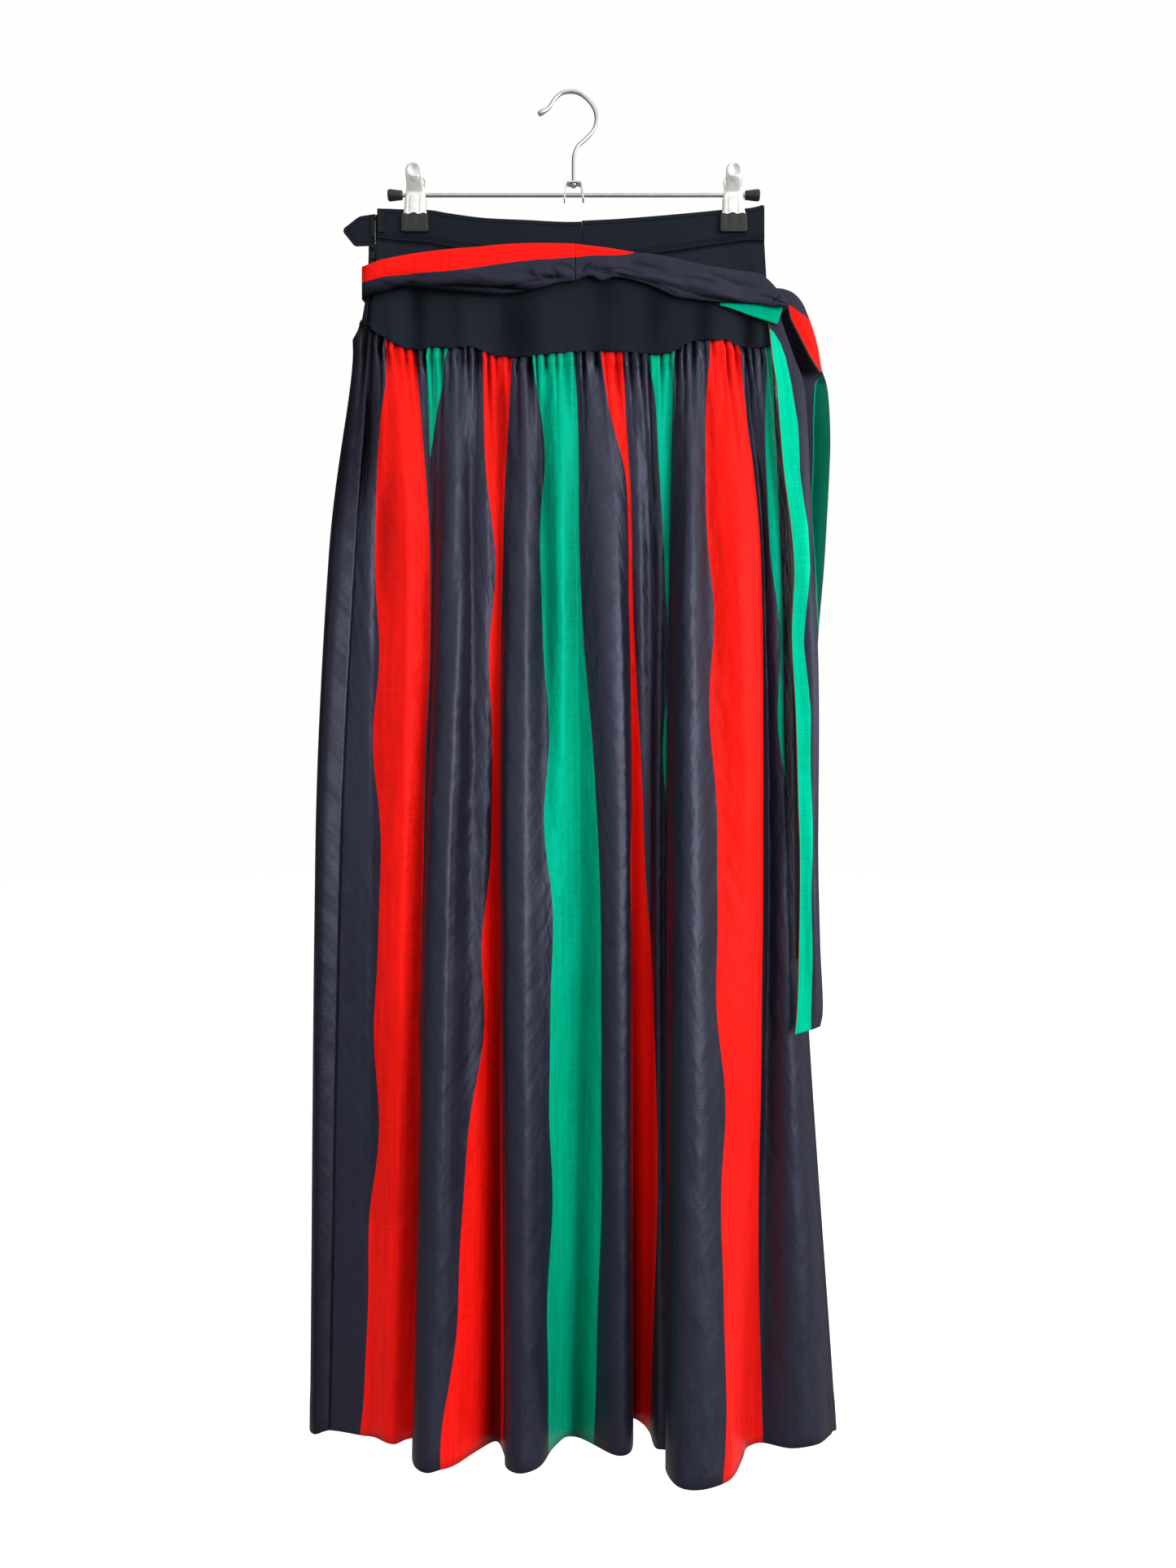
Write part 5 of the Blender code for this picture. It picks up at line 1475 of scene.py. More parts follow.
def yoke_back_grid(steps, shares):
    """Back yoke surface, from the zip round the left side and along the back."""
    table = np.array(YOKE_BACK, float)[:, :, None]
    share = np.array(shares)
    x = table[:, 0] + (table[:, 2] - table[:, 0]) * share ** table[:, 4]
    y = table[:, 1] + (table[:, 3] - table[:, 1]) * share
    grid = across(np.stack([x, y, 0 * y], axis=2), [steps] * (len(table) - 1)).transpose(1, 0, 2)
    inside = np.clip(grid[0, :, 0], BAND[0][0], BAND[-1][0])
    top = band_at(inside)[:, 1] - back_band_drop(inside) - BAND_GAP
    top -= np.interp(grid[0, :, 0], (-163.4, -161.6), (0.3, 0.0))
    low = back_seam_at(grid[-1, :, 0]) + SEAM_GAP
    grid[:, :, 2] = top + (low - top) * share[:, None]
    return grid


def seam_pucker(grid, shares, out):
    """The grid with its lower edge drawn in and out by the gathers sewn to it, standing over them."""
    column = np.arange(grid.shape[1])
    low = ramp(np.asarray(shares), 0.86, 1.0)[:, None]
    pull = 0.35 * np.sin(column * 0.82) + 0.25 * np.sin(column * 0.37 + 1.0)
    grid[:, :, 1] += out * low * (0.75 + 0.5 * pull[None, :])
    grid[:, :, 2] += low * 0.35 * np.sin(column * 0.63 + 0.4)[None, :]
    return grid


def yoke_cloth(side, grid, fields=None):
    """A yoke from its shaped grid."""
    made = shell(f"yoke_{side}_cloth", grid, 0.9, finish_named("yoke_cloth"), fields)
    return dressed(made, [f"yoke_{side}"])


def yoke_cloths(look):
    """Front and back yoke."""
    shares = [-0.03, *np.linspace(0.0, 0.84, 22), *np.linspace(0.87, 1.0, 8)]
    front = softened(yoke_front_grid(shares, 3), np.full(len(shares), 24.0))
    front = seam_pucker(front, shares, -1)
    front = creased(front, YOKE_CREASES, -1, look.crease_share)
    front[0, :, 1] += 0.8
    x, z = seen_places(front)
    shadow = sum(deep * np.exp(-(((x - at) / wide) ** 2)) for at, wide, deep in YOKE_SHADOWS)
    shadow *= ramp(z, -138.0, -168.0) * (0.85 + 0.15 * np.sin(z / 9.0 + x / 30.0))
    shadow += 0.8 * ramp(np.asarray(shares), 0.03, 0.0)[:, None]
    yoke_cloth("front", front, {"painted_shade": np.clip(shadow, 0, 1)})
    shares = [*np.linspace(0.0, 0.84, 18), *np.linspace(0.87, 1.0, 8)]
    yoke_cloth("back", right_end_met(seam_pucker(yoke_back_grid(12, shares), shares, 1), 1.1))


# Waistband


def band_surface(x, side, top, low, front):
    """Waistband surface and its distance below the top edge and above the lower edge."""
    height = top - low
    between = height - BAND_TOP_ROWS[-1] - BAND_LOW_ROWS[0]
    down = [value + 0 * height for value in BAND_TOP_ROWS]
    down += [BAND_TOP_ROWS[-1] + between * value for value in BAND_MIDDLE_ROWS]
    down = np.array(down + [height - value for value in BAND_LOW_ROWS])
    y = -side * (front[0] + (front[1] - front[0]) * down / height)
    return np.stack([x + 0 * down, y, top - down], axis=2), down, height - down


def band_piece(name, x, side, rise=0.0):
    """One length of the waistband with its three stitched lines."""
    inside = np.clip(x, BAND[0][0], BAND[-1][0])
    station = band_at(inside)
    drop = back_band_drop(inside) if side > 0 else 0.0
    top, low = station[:, 0] + rise - drop, station[:, 1] - drop
    grid, down, up = band_surface(x, side, top, low, (station[:, 2], station[:, 3]))
    fields = dict(zip(BAND_LINES, (down - TOP_LINE, up - LOW_LINE, up - LOWER_LINE)))
    depth = 0.12 + 0.06 * np.sin(np.arange(len(x)) * 0.9)
    for off_line in fields.values():
        grid[:, :, 1] -= side * depth * np.exp(-((off_line / 0.9) ** 2))
    grid = creased(grid, BAND_CREASES, -1) if side < 0 else right_end_met(grid, 0.5)
    # Painted shade along the band's lower edge, where it meets the yoke.
    fields["painted_shade"] = ramp(up, 1.3, 0.3)
    thickness = np.full(len(grid), 1.5)
    thickness[[0, -1]] = 0.7
    thickness[[1, -2]] = 1.25
    made = shell(f"{name}_cloth", grid, thickness, finish_named("band_cloth"), fields)
    return dressed(made, [name])


def waistband_cloths():
    """The two front halves of the waistband and its back."""
    left = np.linspace(BAND[0][0], BAND_SEAM_X - SEAM_GAP / 2, 150)
    right = np.linspace(BAND_SEAM_X + SEAM_GAP / 2, BAND[-1][0], 140)
    rise = 0.8 * np.exp(-(right - BAND_SEAM_X) / 40.0)
    band_piece("waistband_front_left", left, -1)
    band_piece("waistband_front_right", right, -1, rise)
    band_piece("waistband_back", np.linspace(TAB_OUTLINE[4][0] + SEAM_GAP, BAND[-1][0], 200), 1)


def edge_distance(x, z, start, end):
    """Distance of places from the straight edge between two corners."""
    run = end - start
    share = np.clip(((x - start[0]) * run[0] + (z - start[1]) * run[1]) / (run @ run), 0, 1)
    return np.hypot(x - start[0] - share * run[0], z - start[1] - share * run[1])


def tab_cloth():
    """The pointed tab, stitched round inside its edge."""
    top = np.array(TAB_OUTLINE[:5])
    low = np.array([TAB_OUTLINE[0], *TAB_OUTLINE[:4:-1]])
    x = np.linspace(TAB_OUTLINE[0][0] + 0.15, TAB_OUTLINE[4][0], 60)
    high_z, low_z = np.interp(x, top[:, 0], top[:, 1]), np.interp(x, low[:, 0], low[:, 1])
    shares = np.array([0.0, 0.02, 0.06, 0.12, *np.linspace(0.2, 0.8, 9), 0.88, 0.94, 0.98, 1.0])
    z = high_z + (low_z - high_z) * shares[:, None]
    x = x + 0 * z
    joined = np.array([*TAB_OUTLINE[5:], *TAB_OUTLINE[:5]])
    inside = np.min([edge_distance(x, z, *joined[k : k + 2]) for k in range(len(joined) - 1)], axis=0)
    y = TAB_DEPTH + TAB_TURN * (x - TAB_OUTLINE[4][0])
    grid = np.stack([x, y + 0.15 * np.exp(-(((inside - TAB_LINE) / 0.9) ** 2)), z], axis=2)
    thickness = np.interp(inside.min(axis=1), (0.0, 1.0), (0.8, 1.5))
    made = shell("waist_tab_cloth", grid, thickness, finish_named("tab_cloth"), {"stitch": inside - TAB_LINE})
    return dressed(made, ["waist_tab"])


# Sash


def lengthwise_rolls(grid, height):
    """The grid with a soft crown, a groove above its lower edge and a rolled lip."""
    share = np.linspace(0, 1, grid.shape[0])[:, None]
    x = grid[0, :, 0][None, :]
    fade = np.minimum(ramp(x, grid[0, :, 0].min() + 1, grid[0, :, 0].min() + 12), 1.0)
    crown = np.sin(share * math.pi) ** 0.7 * 0.6
    groove_at = 0.66 + 0.08 * np.sin(x / 19.0) + 0.05 * np.sin(x / 7.3)
    groove = np.exp(-(((share - groove_at) / 0.07) ** 2)) * (0.7 + 0.5 * np.sin(x / 31.0 + 1.0))
    lip = np.exp(-(((share - groove_at - 0.2) / 0.1) ** 2))
    grid[:, :, 1] -= height * fade * (crown + 0.8 * lip - groove)
    return grid


def sash_front_piece(name, table, look):
    """One length of the front sash, red above and navy below."""
    shares = np.linspace(0, 1, 34)
    grid = sash_grid(table, shares, 8)
    x, z = seen_places(grid)
    edge = np.array(SASH_RED_EDGE)
    red = z - np.interp(x, edge[:, 0], edge[:, 1]) - 0.35 * np.sin(x / 11.0)
    smooth = lengthwise_rolls(grid, 1.1)
    grid = creased(smooth, SASH_CREASES, -1, look.crease_share)
    low = np.linspace(0, 1, len(shares))[:, None]
    # Painted shade: darker over the lower left part and along the lower edge, and in the creases.
    shaded = ramp(low, 0.45, 0.95) * ramp(x, -20.0, -90.0) * 0.6 + 0.3 * ramp(low, 0.8, 1.0)
    painted_shade = np.clip(shaded + 0.8 * in_crease(smooth, grid, -1, 1.3), 0.0, 1.0)
    made = shell(f"{name}_cloth", grid, 1.2, finish_named("sash_sateen"), {"red": red, "painted_shade": painted_shade})
    return dressed(made, [name])


def sash_cloths(look):
    """The front sash in two lengths, its back and the layer turned under by the knot."""
    split = [row[0] for row in SASH_FRONT].index(SASH_SEAM_X)
    left = [list(row) for row in SASH_FRONT[: split + 1]]
    right = [list(row) for row in SASH_FRONT[split:]]
    left[-1][0] -= SEAM_GAP / 2
    right[0][0] += SEAM_GAP / 2
    sash_front_piece("sash_front_left", left, look)
    sash_front_piece("sash_front_right", right, look)
    shares = np.linspace(0, 1, 24)
    grid = sash_grid(SASH_BACK, shares, 12, true_place=True)
    share = shares[:, None]
    x = grid[..., 0]
    red = (0.42 - 0.42 * ramp(x, -150.0, -20.0) - share) * 26.0 - 0.4 * np.sin(x / 12.0)
    wave = 0.5 * np.sin(share * 9.0 + x / 23.0) + 0.35 * np.sin(share * 5.0 - x / 9.0)
    grid[:, :, 1] += 0.8 * wave * ramp(grid[..., 1], 3.0, 8.0)
    made = shell("sash_back_cloth", grid, 1.2, finish_named("sash_sateen"), {"red": red})
    dressed(made, ["sash_back"])
    shares = np.linspace(0, 1, 10)
    grid = sash_grid(SASH_UNDER, shares, 6)
    grid[:, :, 1] -= 0.25 * np.sin(grid[..., 0] / 5.0) * shares[:, None]
    made = shell("sash_under_cloth", grid, 0.8, finish_named("green_sateen"))
    dressed(made, ["sash_under"])


def knot_cloth():
    """The knot: the sash wound once round itself, its end tucked over its start, with folds round it."""
    polar = np.linspace(0.3, math.pi - 0.3, 40)
    turn = np.linspace(KNOT_START, KNOT_START + KNOT_TURN, 66)
    p, t = np.meshgrid(polar, turn, indexing="ij")
    x, y, z = np.sin(p) * np.cos(t), np.sin(p) * np.sin(t), np.cos(p)
    wrap = 0.93 + 0.10 * (t - KNOT_START) / KNOT_TURN
    wrap -= 0.10 * np.exp(-((z - 0.42 - 0.25 * x) ** 2) / 0.012)
    wrap -= 0.09 * np.exp(-((z + 0.18 - 0.3 * x) ** 2) / 0.010)
    wrap += 0.03 * np.sin(9 * z + 3 * x + 2.0 * y)
    plump = [np.sign(x) * np.abs(x) ** 0.8 * wrap, y * wrap, np.sign(z) * np.abs(z) ** 0.85]
    grid = np.array(KNOT_CENTRE) + np.stack(plump, axis=2) * KNOT_HALF_SIZE
    made = shell("sash_knot_cloth", grid, 0.6, finish_named("sash_sateen"), {"red": np.full(x.shape, -9.0)})
    return dressed(made, ["sash_knot"])


def tail_surface(table, refine, shares):
    """A hanging end between its two edges, with a soft fold along its middle."""
    rows = np.array(table, float)
    places = [seen(rows[:, i], rows[:, i + 1], rows[:, 4]) for i in (0, 2)]
    edges = across(np.array(places).transpose(2, 0, 1), [refine] * (len(rows) - 1))
    depth = TAIL_FULLNESS * np.sin(shares * math.pi) - TAIL_TWIST * np.sin(shares * 2 * math.pi)
    opened = np.clip(np.arange(len(edges)) / refine / 7.0, 0.15, 1.0)
    grid = edges[:, :1] + (edges[:, 1:] - edges[:, :1]) * shares[None, :, None]
    grid[:, :, 1] -= depth[None, :] * opened[:, None]
    drop = grid[:, :1, 2]
    grid[:, :, 1] -= 0.35 * np.sin(drop / 34.0 + shares[None, :] * 3.0) * opened[:, None]
    return grid


def edge_at(table, z, **beyond):
    """X of a stripe's edge on a hanging end at seen z, from a table that runs downward."""
    edge = np.array(table)[::-1]
    return np.interp(z, edge[:, 0], edge[:, 1], **beyond)


def tail_cloths():
    """The two hanging ends with their stripes and the line along the front one's edge."""
    shares = np.linspace(0, 1, 27)
    grid = tail_surface(TAIL_FRONT, 10, shares)
    x, z = seen_places(grid)
    green = edge_at(TAIL_FRONT_GREEN, z) - x + 0.5 * np.sin(z / 17.0)
    away = arc_lengths(grid)
    fields = {"red": np.full(x.shape, -9.0), "green": green, "edge": 0.9 - away}
    made = shell("tail_front_cloth", grid, 1.0, finish_named("tail_sateen"), fields)
    dressed(made, ["tail_front"])
    grid = tail_surface(TAIL_REAR, 10, shares)
    x, z = seen_places(grid)
    green = x - edge_at(TAIL_REAR_GREEN, z) + 0.4 * np.sin(z / 15.0)
    start = edge_at(RED_PATCH_LEFT, z, left=240.0, right=240.0)
    end = edge_at(RED_PATCH_RIGHT, z, left=0.0, right=0.0)
    red = np.minimum(np.minimum(x - start, end + 9.0 - x), -176.0 - 0.75 * (x - 182.0) - z)
    piped = np.where((z > -240.0) & (z < -177.0), 0.45 - np.abs(x - start), -9.0)
    # Painted shade: the rear end darkened left of its red patch and over its green stripe.
    painted_shade = ramp(start - x, 0.3, 2.0) * ramp(z, -244.0, -232.0) * ramp(z, -176.0, -182.0)
    painted_shade += 0.92 * ramp(green, -0.5, 1.0) * ramp(z, -480.0, -470.0) * ramp(z, -228.0, -240.0)
    fields = {"red": red, "green": green, "edge": piped, "painted_shade": painted_shade}
    made = shell("tail_rear_cloth", grid, 0.9, finish_named("tail_sateen"), fields)
    dressed(made, ["tail_rear"])


# Hard pieces, modelled as by hand


def alone():
    """Leaves nothing selected and no object in edit mode."""
    if bpy.context.object and bpy.context.object.mode != "OBJECT":
        bpy.ops.object.mode_set(mode="OBJECT")
    bpy.ops.object.select_all(action="DESELECT")


def taken(made):
    """Makes a piece the only selected one, and the active one."""
    alone()
    made.select_set(True)
    bpy.context.view_layer.objects.active = made


def kept(made, name, finish, nodes, angle=40.0):
    """Names a finished piece, puts its place in its mesh, gives it its finish and hands it over."""
    taken(made)
    bpy.ops.object.transform_apply(location=True, rotation=True, scale=True)
    bpy.ops.object.shade_smooth_by_angle(angle=math.radians(angle))
    made.name = name
    made.data.name = name
    made.data.materials.clear()
    made.data.materials.append(finish_named(finish))
    dressed(made, nodes)
    made.select_set(False)
    return made


def finished_with(made, kind, **settings):
    """Adds one modifier with its settings and applies it."""
    taken(made)
    modifier = made.modifiers.new(kind.lower(), kind)
    for key, value in settings.items():
        setattr(modifier, key, value)
    bpy.ops.object.modifier_apply(modifier=modifier.name)


def turned_outward(made):
    """Turns every face of a piece outward."""
    taken(made)
    bpy.ops.object.mode_set(mode="EDIT")
    bpy.ops.mesh.select_all(action="SELECT")
    bpy.ops.mesh.normals_make_consistent(inside=False)
    bpy.ops.object.mode_set(mode="OBJECT")


def corners_of(made):
    """Places of a piece's corners, in mm."""
    flat = np.zeros(len(made.data.vertices) * 3)
    made.data.vertices.foreach_get("co", flat)
    return flat.reshape(-1, 3) / MM


def corners_moved(made, places):
    """Puts a piece's corners at new places, in mm."""
    made.data.vertices.foreach_set("co", (places * MM).ravel())
    made.data.update()


def pushed(x=0.0, y=0.0):
    """Extrudes the selected faces by a way in mm."""
    way = {"value": (x * MM, y * MM, 0.0), "orient_type": "GLOBAL"}
    bpy.ops.mesh.extrude_region_move(TRANSFORM_OT_translate=way)


def narrowed(share, about):
    """Scales what is selected along X about a place in mm."""
    bpy.ops.transform.resize(value=(share, 1.0, 1.0), center_override=[c * MM for c in about])


def block(centre, size):
    """A cuboid at its place and size."""
    alone()
    bpy.ops.mesh.primitive_cube_add(size=1.0, location=[c * MM for c in centre], scale=[s * MM for s in size])
    made = bpy.context.object
    bpy.ops.object.transform_apply(location=True, rotation=True, scale=True)
    return made


def faces_picked(made, test):
    """Goes into edit mode with the faces selected whose centre and normal pass the test."""
    taken(made)
    mesh = made.data
    mesh.vertices.foreach_set("select", np.zeros(len(mesh.vertices), bool))
    mesh.edges.foreach_set("select", np.zeros(len(mesh.edges), bool))
    for polygon in mesh.polygons:
        polygon.select = test(polygon.center / MM, polygon.normal)
    bpy.ops.object.mode_set(mode="EDIT")
    bpy.ops.mesh.select_mode(type="FACE")


def wire(stations, sides):
    """A round wire along x, y, z and radius stations, made solid."""
    alone()
    bpy.ops.curve.primitive_bezier_curve_add(location=(0.0, 0.0, 0.0))
    made = bpy.context.object
    curve = made.data
    curve.splines.clear()
    spline = curve.splines.new("POLY")
    spline.points.add(len(stations) - 1)
    for point, (x, y, z, radius) in zip(spline.points, stations):
        point.co = (x * MM, y * MM, z * MM, 1.0)
        point.radius = radius
    curve.dimensions = "3D"
    curve.bevel_depth = MM
    curve.bevel_resolution = sides
    curve.use_fill_caps = True
    bpy.ops.object.convert(target="MESH")
    return bpy.context.object


def lathed(profile, middle_z, sides=32):
    """A turned piece about a line along X, from stations of x and radius, closed at both ends."""
    alone()
    x, radius = profile[0]
    bpy.ops.mesh.primitive_circle_add(
        vertices=sides,
        radius=radius * MM,
        fill_type="NGON",
        location=(x * MM, 0.0, middle_z * MM),
        rotation=(0.0, math.pi / 2, 0.0),
    )
    made = bpy.context.object
    bpy.ops.object.transform_apply(location=True, rotation=True, scale=True)
    bpy.ops.object.mode_set(mode="EDIT")
    bpy.ops.mesh.select_all(action="SELECT")
    for new_x, new_radius in profile[1:]:
        pushed(x=new_x - x)
        share = new_radius / radius
        bpy.ops.transform.resize(value=(1.0, share, share), center_override=(new_x * MM, 0.0, middle_z * MM))
        x, radius = new_x, new_radius
    turned_outward(made)
    return made


def hook_piece(look):
    """The swivel hook with its knobbed tip and headed stem."""
    table = np.array(HOOK)
    fine = across(table[:, None, :], [5] * (len(table) - 1))[:, 0]
    toward = (fine[0, :2] - fine[1, :2]) / np.linalg.norm(fine[0, :2] - fine[1, :2])
    tip = [(*(fine[0, :2] + toward * away), radius) for away, radius in HOOK_TIP]
    head = [(STEM_X, z, radius) for z, radius in STEM_HEAD]
    scale = look.wire_radius / MM / WIRE_RADIUS
    made = wire([(x, 0.0, z, r * scale) for x, z, r in [*tip, *fine.tolist(), *head]], 6)
    return kept(made, "hanger_hook_wire", "polished_steel", ["hanger_hook"], 50.0)


def cap_piece(side, end, outward):
    """One rubber cap over an end of the bar, from its bore round its rounded outside."""
    bore = BAR_RADIUS + FIT
    profile = (
        (CAP_OVERLAP + FIT, bore),
        (0.2, bore),
        (0.0, bore + 0.3),
        (0.0, CAP_INNER_RADIUS - 0.5),
        (0.15, CAP_INNER_RADIUS - 0.15),
        (0.5, CAP_INNER_RADIUS + 0.05),
        (4.0, CAP_INNER_RADIUS + 0.42),
        (CAP_LENGTH - 2.6, CAP_OUTER_RADIUS - 0.05),
        (CAP_LENGTH - 1.5, CAP_OUTER_RADIUS),
        (CAP_LENGTH - 0.7, CAP_OUTER_RADIUS - 0.25),
        (CAP_LENGTH - 0.15, CAP_OUTER_RADIUS - 0.8),
        (CAP_LENGTH, CAP_OUTER_RADIUS - 1.4),
        (CAP_LENGTH, CAP_OUTER_RADIUS - 2.0),
        (CAP_LENGTH - 0.5, CAP_OUTER_RADIUS - 2.4),
    )
    mouth = end - outward * CAP_OVERLAP
    made = lathed([(mouth + outward * along, radius) for along, radius in profile], BAR_Z)
    return kept(made, f"cap_{side}_rubber", "black_rubber_grain", [f"cap_{side}"], 35.0)


def bar_pieces():
    """The bar with its chamfered ends, its two rubber caps and the finish of the stirrup."""
    profile = [(BAR_LEFT, BAR_RADIUS - 0.3), (BAR_LEFT + 0.3, BAR_RADIUS), (BAR_RIGHT - 0.3, BAR_RADIUS)]
    profile.append((BAR_RIGHT, BAR_RADIUS - 0.3))
    kept(lathed(profile, BAR_Z), "hanger_bar_rod", "polished_steel", ["hanger_bar"])
    cap_piece("left", BAR_LEFT, -1)
    cap_piece("right", BAR_RIGHT, 1)
    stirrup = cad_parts["hanger_stirrup"]
    stirrup.data.materials.clear()
    stirrup.data.materials.append(finish_named("polished_steel"))


def foot_wave(x):
    """Wave of the jaws' and pads' edges between the two grooves, from -1 to 1."""
    return np.cos((x - GROOVE_MIDDLE_X) * math.pi / GROOVE_OFFSET)


def grooves(x, half_width):
    """How far each x lies in the two pressed grooves, from 0 to 1 at their middles."""
    middles = (GROOVE_MIDDLE_X - GROOVE_OFFSET, GROOVE_MIDDLE_X + GROOVE_OFFSET)
    return sum(np.exp(-(((x - middle) / half_width) ** 2)) for middle in middles)


def jaw_places(w, h):
    """X, distance from the middle plane and z of a jaw's sheet, by place across and up it."""
    table = np.array(JAW)[::-1]
    low_z, high_z = table[0][0], table[-1][0]
    z = low_z + (high_z - low_z) * h
    above = z - (high_z - JAW_TOP_RADIUS)
    crown = np.sqrt(np.clip(JAW_TOP_RADIUS**2 - np.maximum(above, 0.0) ** 2, 0.6, None))
    straight = np.interp(z, table[:, 0], table[:, 1])
    x = w * np.where(above > 0.0, np.minimum(crown, JAW_TOP_RADIUS), straight)
    foot = ramp(z, *JAW_FOOT)
    away = eased(table[:, 0], table[:, 2], z) - GROOVE_DEPTH * foot * grooves(x, JAW_GROOVE_HALF_WIDTH)
    ridge = np.exp(-(((x - GROOVE_MIDDLE_X) / RIDGE_HALF_WIDTH) ** 2))
    away += RIDGE_HEIGHT * foot * ridge - SIDE_BEND * np.abs(w) ** 6
    down = (z - (high_z - HOLLOW_DROP)) / HOLLOW_HALF_HEIGHT
    away -= HOLLOW_DEPTH * np.clip(1.0 - (x / HOLLOW_HALF_WIDTH) ** 2 - down**2, 0.0, 1.0) ** 1.2
    below_lip = high_z - LIP_DROP - z
    bulge = np.clip(1.0 - (x / LIP_HALF_WIDTH) ** 2 - (below_lip / LIP_DEPTH) ** 2, 0.0, 1.0)
    away += LIP_RISE * bulge**0.5 * ramp(below_lip, -0.1, 0.35)
    return x, away, z + JAW_SCALLOP * ramp(z, low_z + 3.0, low_z) * foot_wave(x)


def jaw_piece(place, which, middle_x):
    """One pressed jaw: rounded top, oval thumb dent with its lip, two grooves and a scalloped foot."""
    side = -1.0 if which == "front" else 1.0
    alone()
    bpy.ops.mesh.primitive_grid_add(x_subdivisions=34, y_subdivisions=76, size=1.0, location=(0.0, 0.0, 0.0))
    made = bpy.context.object
    unit = corners_of(made) * MM
    x, away, z = jaw_places(unit[:, 0] * 2.0, unit[:, 1] + 0.5)
    corners_moved(made, np.stack([middle_x + x, side * away, z], axis=1))
    finished_with(made, "SOLIDIFY", thickness=JAW_SHEET * MM, offset=0.0)
    turned_outward(made)
    name = f"clip_{place}_{which}_jaw"
    return kept(made, f"{name}_sheet", "satin_steel", [name], 60.0)


def pad_piece(place, which, middle_x):
    """One rubber pad with rounded corners, a rolled rim and the jaw's grooves pressed into it."""
    side = -1.0 if which == "front" else 1.0
    height = PAD_TOP_Z - PAD_BOTTOM_Z
    half_thick = PAD_THICKNESS / 2
    middle_y = side * (PAD_INNER_Y + half_thick)
    middle = (middle_x, middle_y, (PAD_TOP_Z + PAD_BOTTOM_Z) / 2)
    made = block(middle, (PAD_WIDTH, PAD_THICKNESS, height))
    bpy.ops.object.mode_set(mode="EDIT")
    bpy.ops.mesh.select_all(action="SELECT")
    bpy.ops.mesh.subdivide(number_cuts=15)
    bpy.ops.object.mode_set(mode="OBJECT")
    corner = corners_of(made)
    x, y, z = corner[:, 0] - middle_x, (corner[:, 1] - middle_y) / half_thick * side, corner[:, 2]
    down = (PAD_TOP_Z - z) / height
    x = x * (0.965 + 0.055 * down)
    over_x = np.maximum(np.abs(x) - (PAD_HALF_FOOT - PAD_CORNER), 0.0)
    over_z = np.maximum(-(z - PAD_BOTTOM_Z - PAD_CORNER), 0.0)
    reach = np.hypot(over_x, over_z)
    cut_off = reach > PAD_CORNER
    pull = np.where(cut_off, PAD_CORNER / np.maximum(reach, 1e-6), 1.0)
    x = np.where(cut_off, np.sign(x) * (PAD_HALF_FOOT - PAD_CORNER + over_x * pull), x)
    z = np.where(cut_off, PAD_BOTTOM_Z + PAD_CORNER - over_z * pull, z)
    edge = np.minimum(PAD_HALF_FOOT - np.abs(x), np.minimum(z - PAD_BOTTOM_Z, (PAD_TOP_Z - z) + 0.6))
    face = half_thick * (1.0 - PAD_RIM_SHARE * np.exp(-np.maximum(edge, 0.0) / PAD_RIM_WIDTH))
    pressed = GROOVE_DEPTH * grooves(x, PAD_GROOVE_HALF_WIDTH) * ramp(down, 0.85, 0.35)
    face = np.where(y > 0, face - pressed, half_thick)
    z = z + np.where(down < 0.2, PAD_SCALLOP * foot_wave(x) * (1 - down / 0.2), 0.0)
    corners_moved(made, np.stack([middle_x + x, middle_y + side * y * face, z], axis=1))
    name = f"clip_{place}_{which}_pad"
    return kept(made, f"{name}_rubber", "black_rubber_grain", [name], 50.0)


def slider_piece():
    """The zip's slider: two wings and a crown over the pull's loop."""
    made = block(SLIDER_CENTRE, SLIDER_SIZE)
    front = SLIDER_CENTRE[1] - SLIDER_SIZE[1] / 2
    faces_picked(made, lambda centre, normal: normal.y < -0.9)
    bpy.ops.mesh.inset(thickness=1.1 * MM)
    narrowed(0.72, SLIDER_CENTRE)
    bpy.ops.transform.translate(value=(0.0, -0.3 * MM, 0.0))
    bpy.ops.object.mode_set(mode="OBJECT")
    faces_picked(made, lambda centre, normal: normal.z < -0.9 and centre.y > front + 0.2)
    narrowed(0.78, SLIDER_CENTRE)
    bpy.ops.object.mode_set(mode="OBJECT")
    finished_with(made, "BEVEL", width=0.35 * MM, segments=3)
    return kept(made, "zip_slider_metal", "dull_plating", ["zip_slider"])


def plate_piece(name, centre, size, rim, sunk, bevel):
    """A small plate with a raised rim round a sunken middle."""
    made = block(centre, size)
    faces_picked(made, lambda middle, normal: normal.y < -0.9)
    bpy.ops.mesh.inset(thickness=rim * MM)
    pushed(y=sunk)
    bpy.ops.object.mode_set(mode="OBJECT")
    finished_with(made, "BEVEL", width=bevel * MM, segments=3)
    return kept(made, f"{name}_metal", "dull_plating", [name])


def zip_line(heights):
    """X and depth of the zip's middle at some heights."""
    yoke = yoke_front_grid(np.linspace(0, 1, 21), 1)[:, 0]
    rows = (0, 5, 12, 22, 36, 56, 85, 125, 175)
    skirt = front_panel(rows, 1)[:, 0]
    edge = np.concatenate([yoke[:-1], skirt])[::-1]
    x = np.interp(heights, edge[:, 2], edge[:, 0]) + np.interp(heights, (-215, -198), (0.0, -0.6))
    return x, np.interp(heights, edge[:, 2], edge[:, 1]) + TAPE_BEHIND


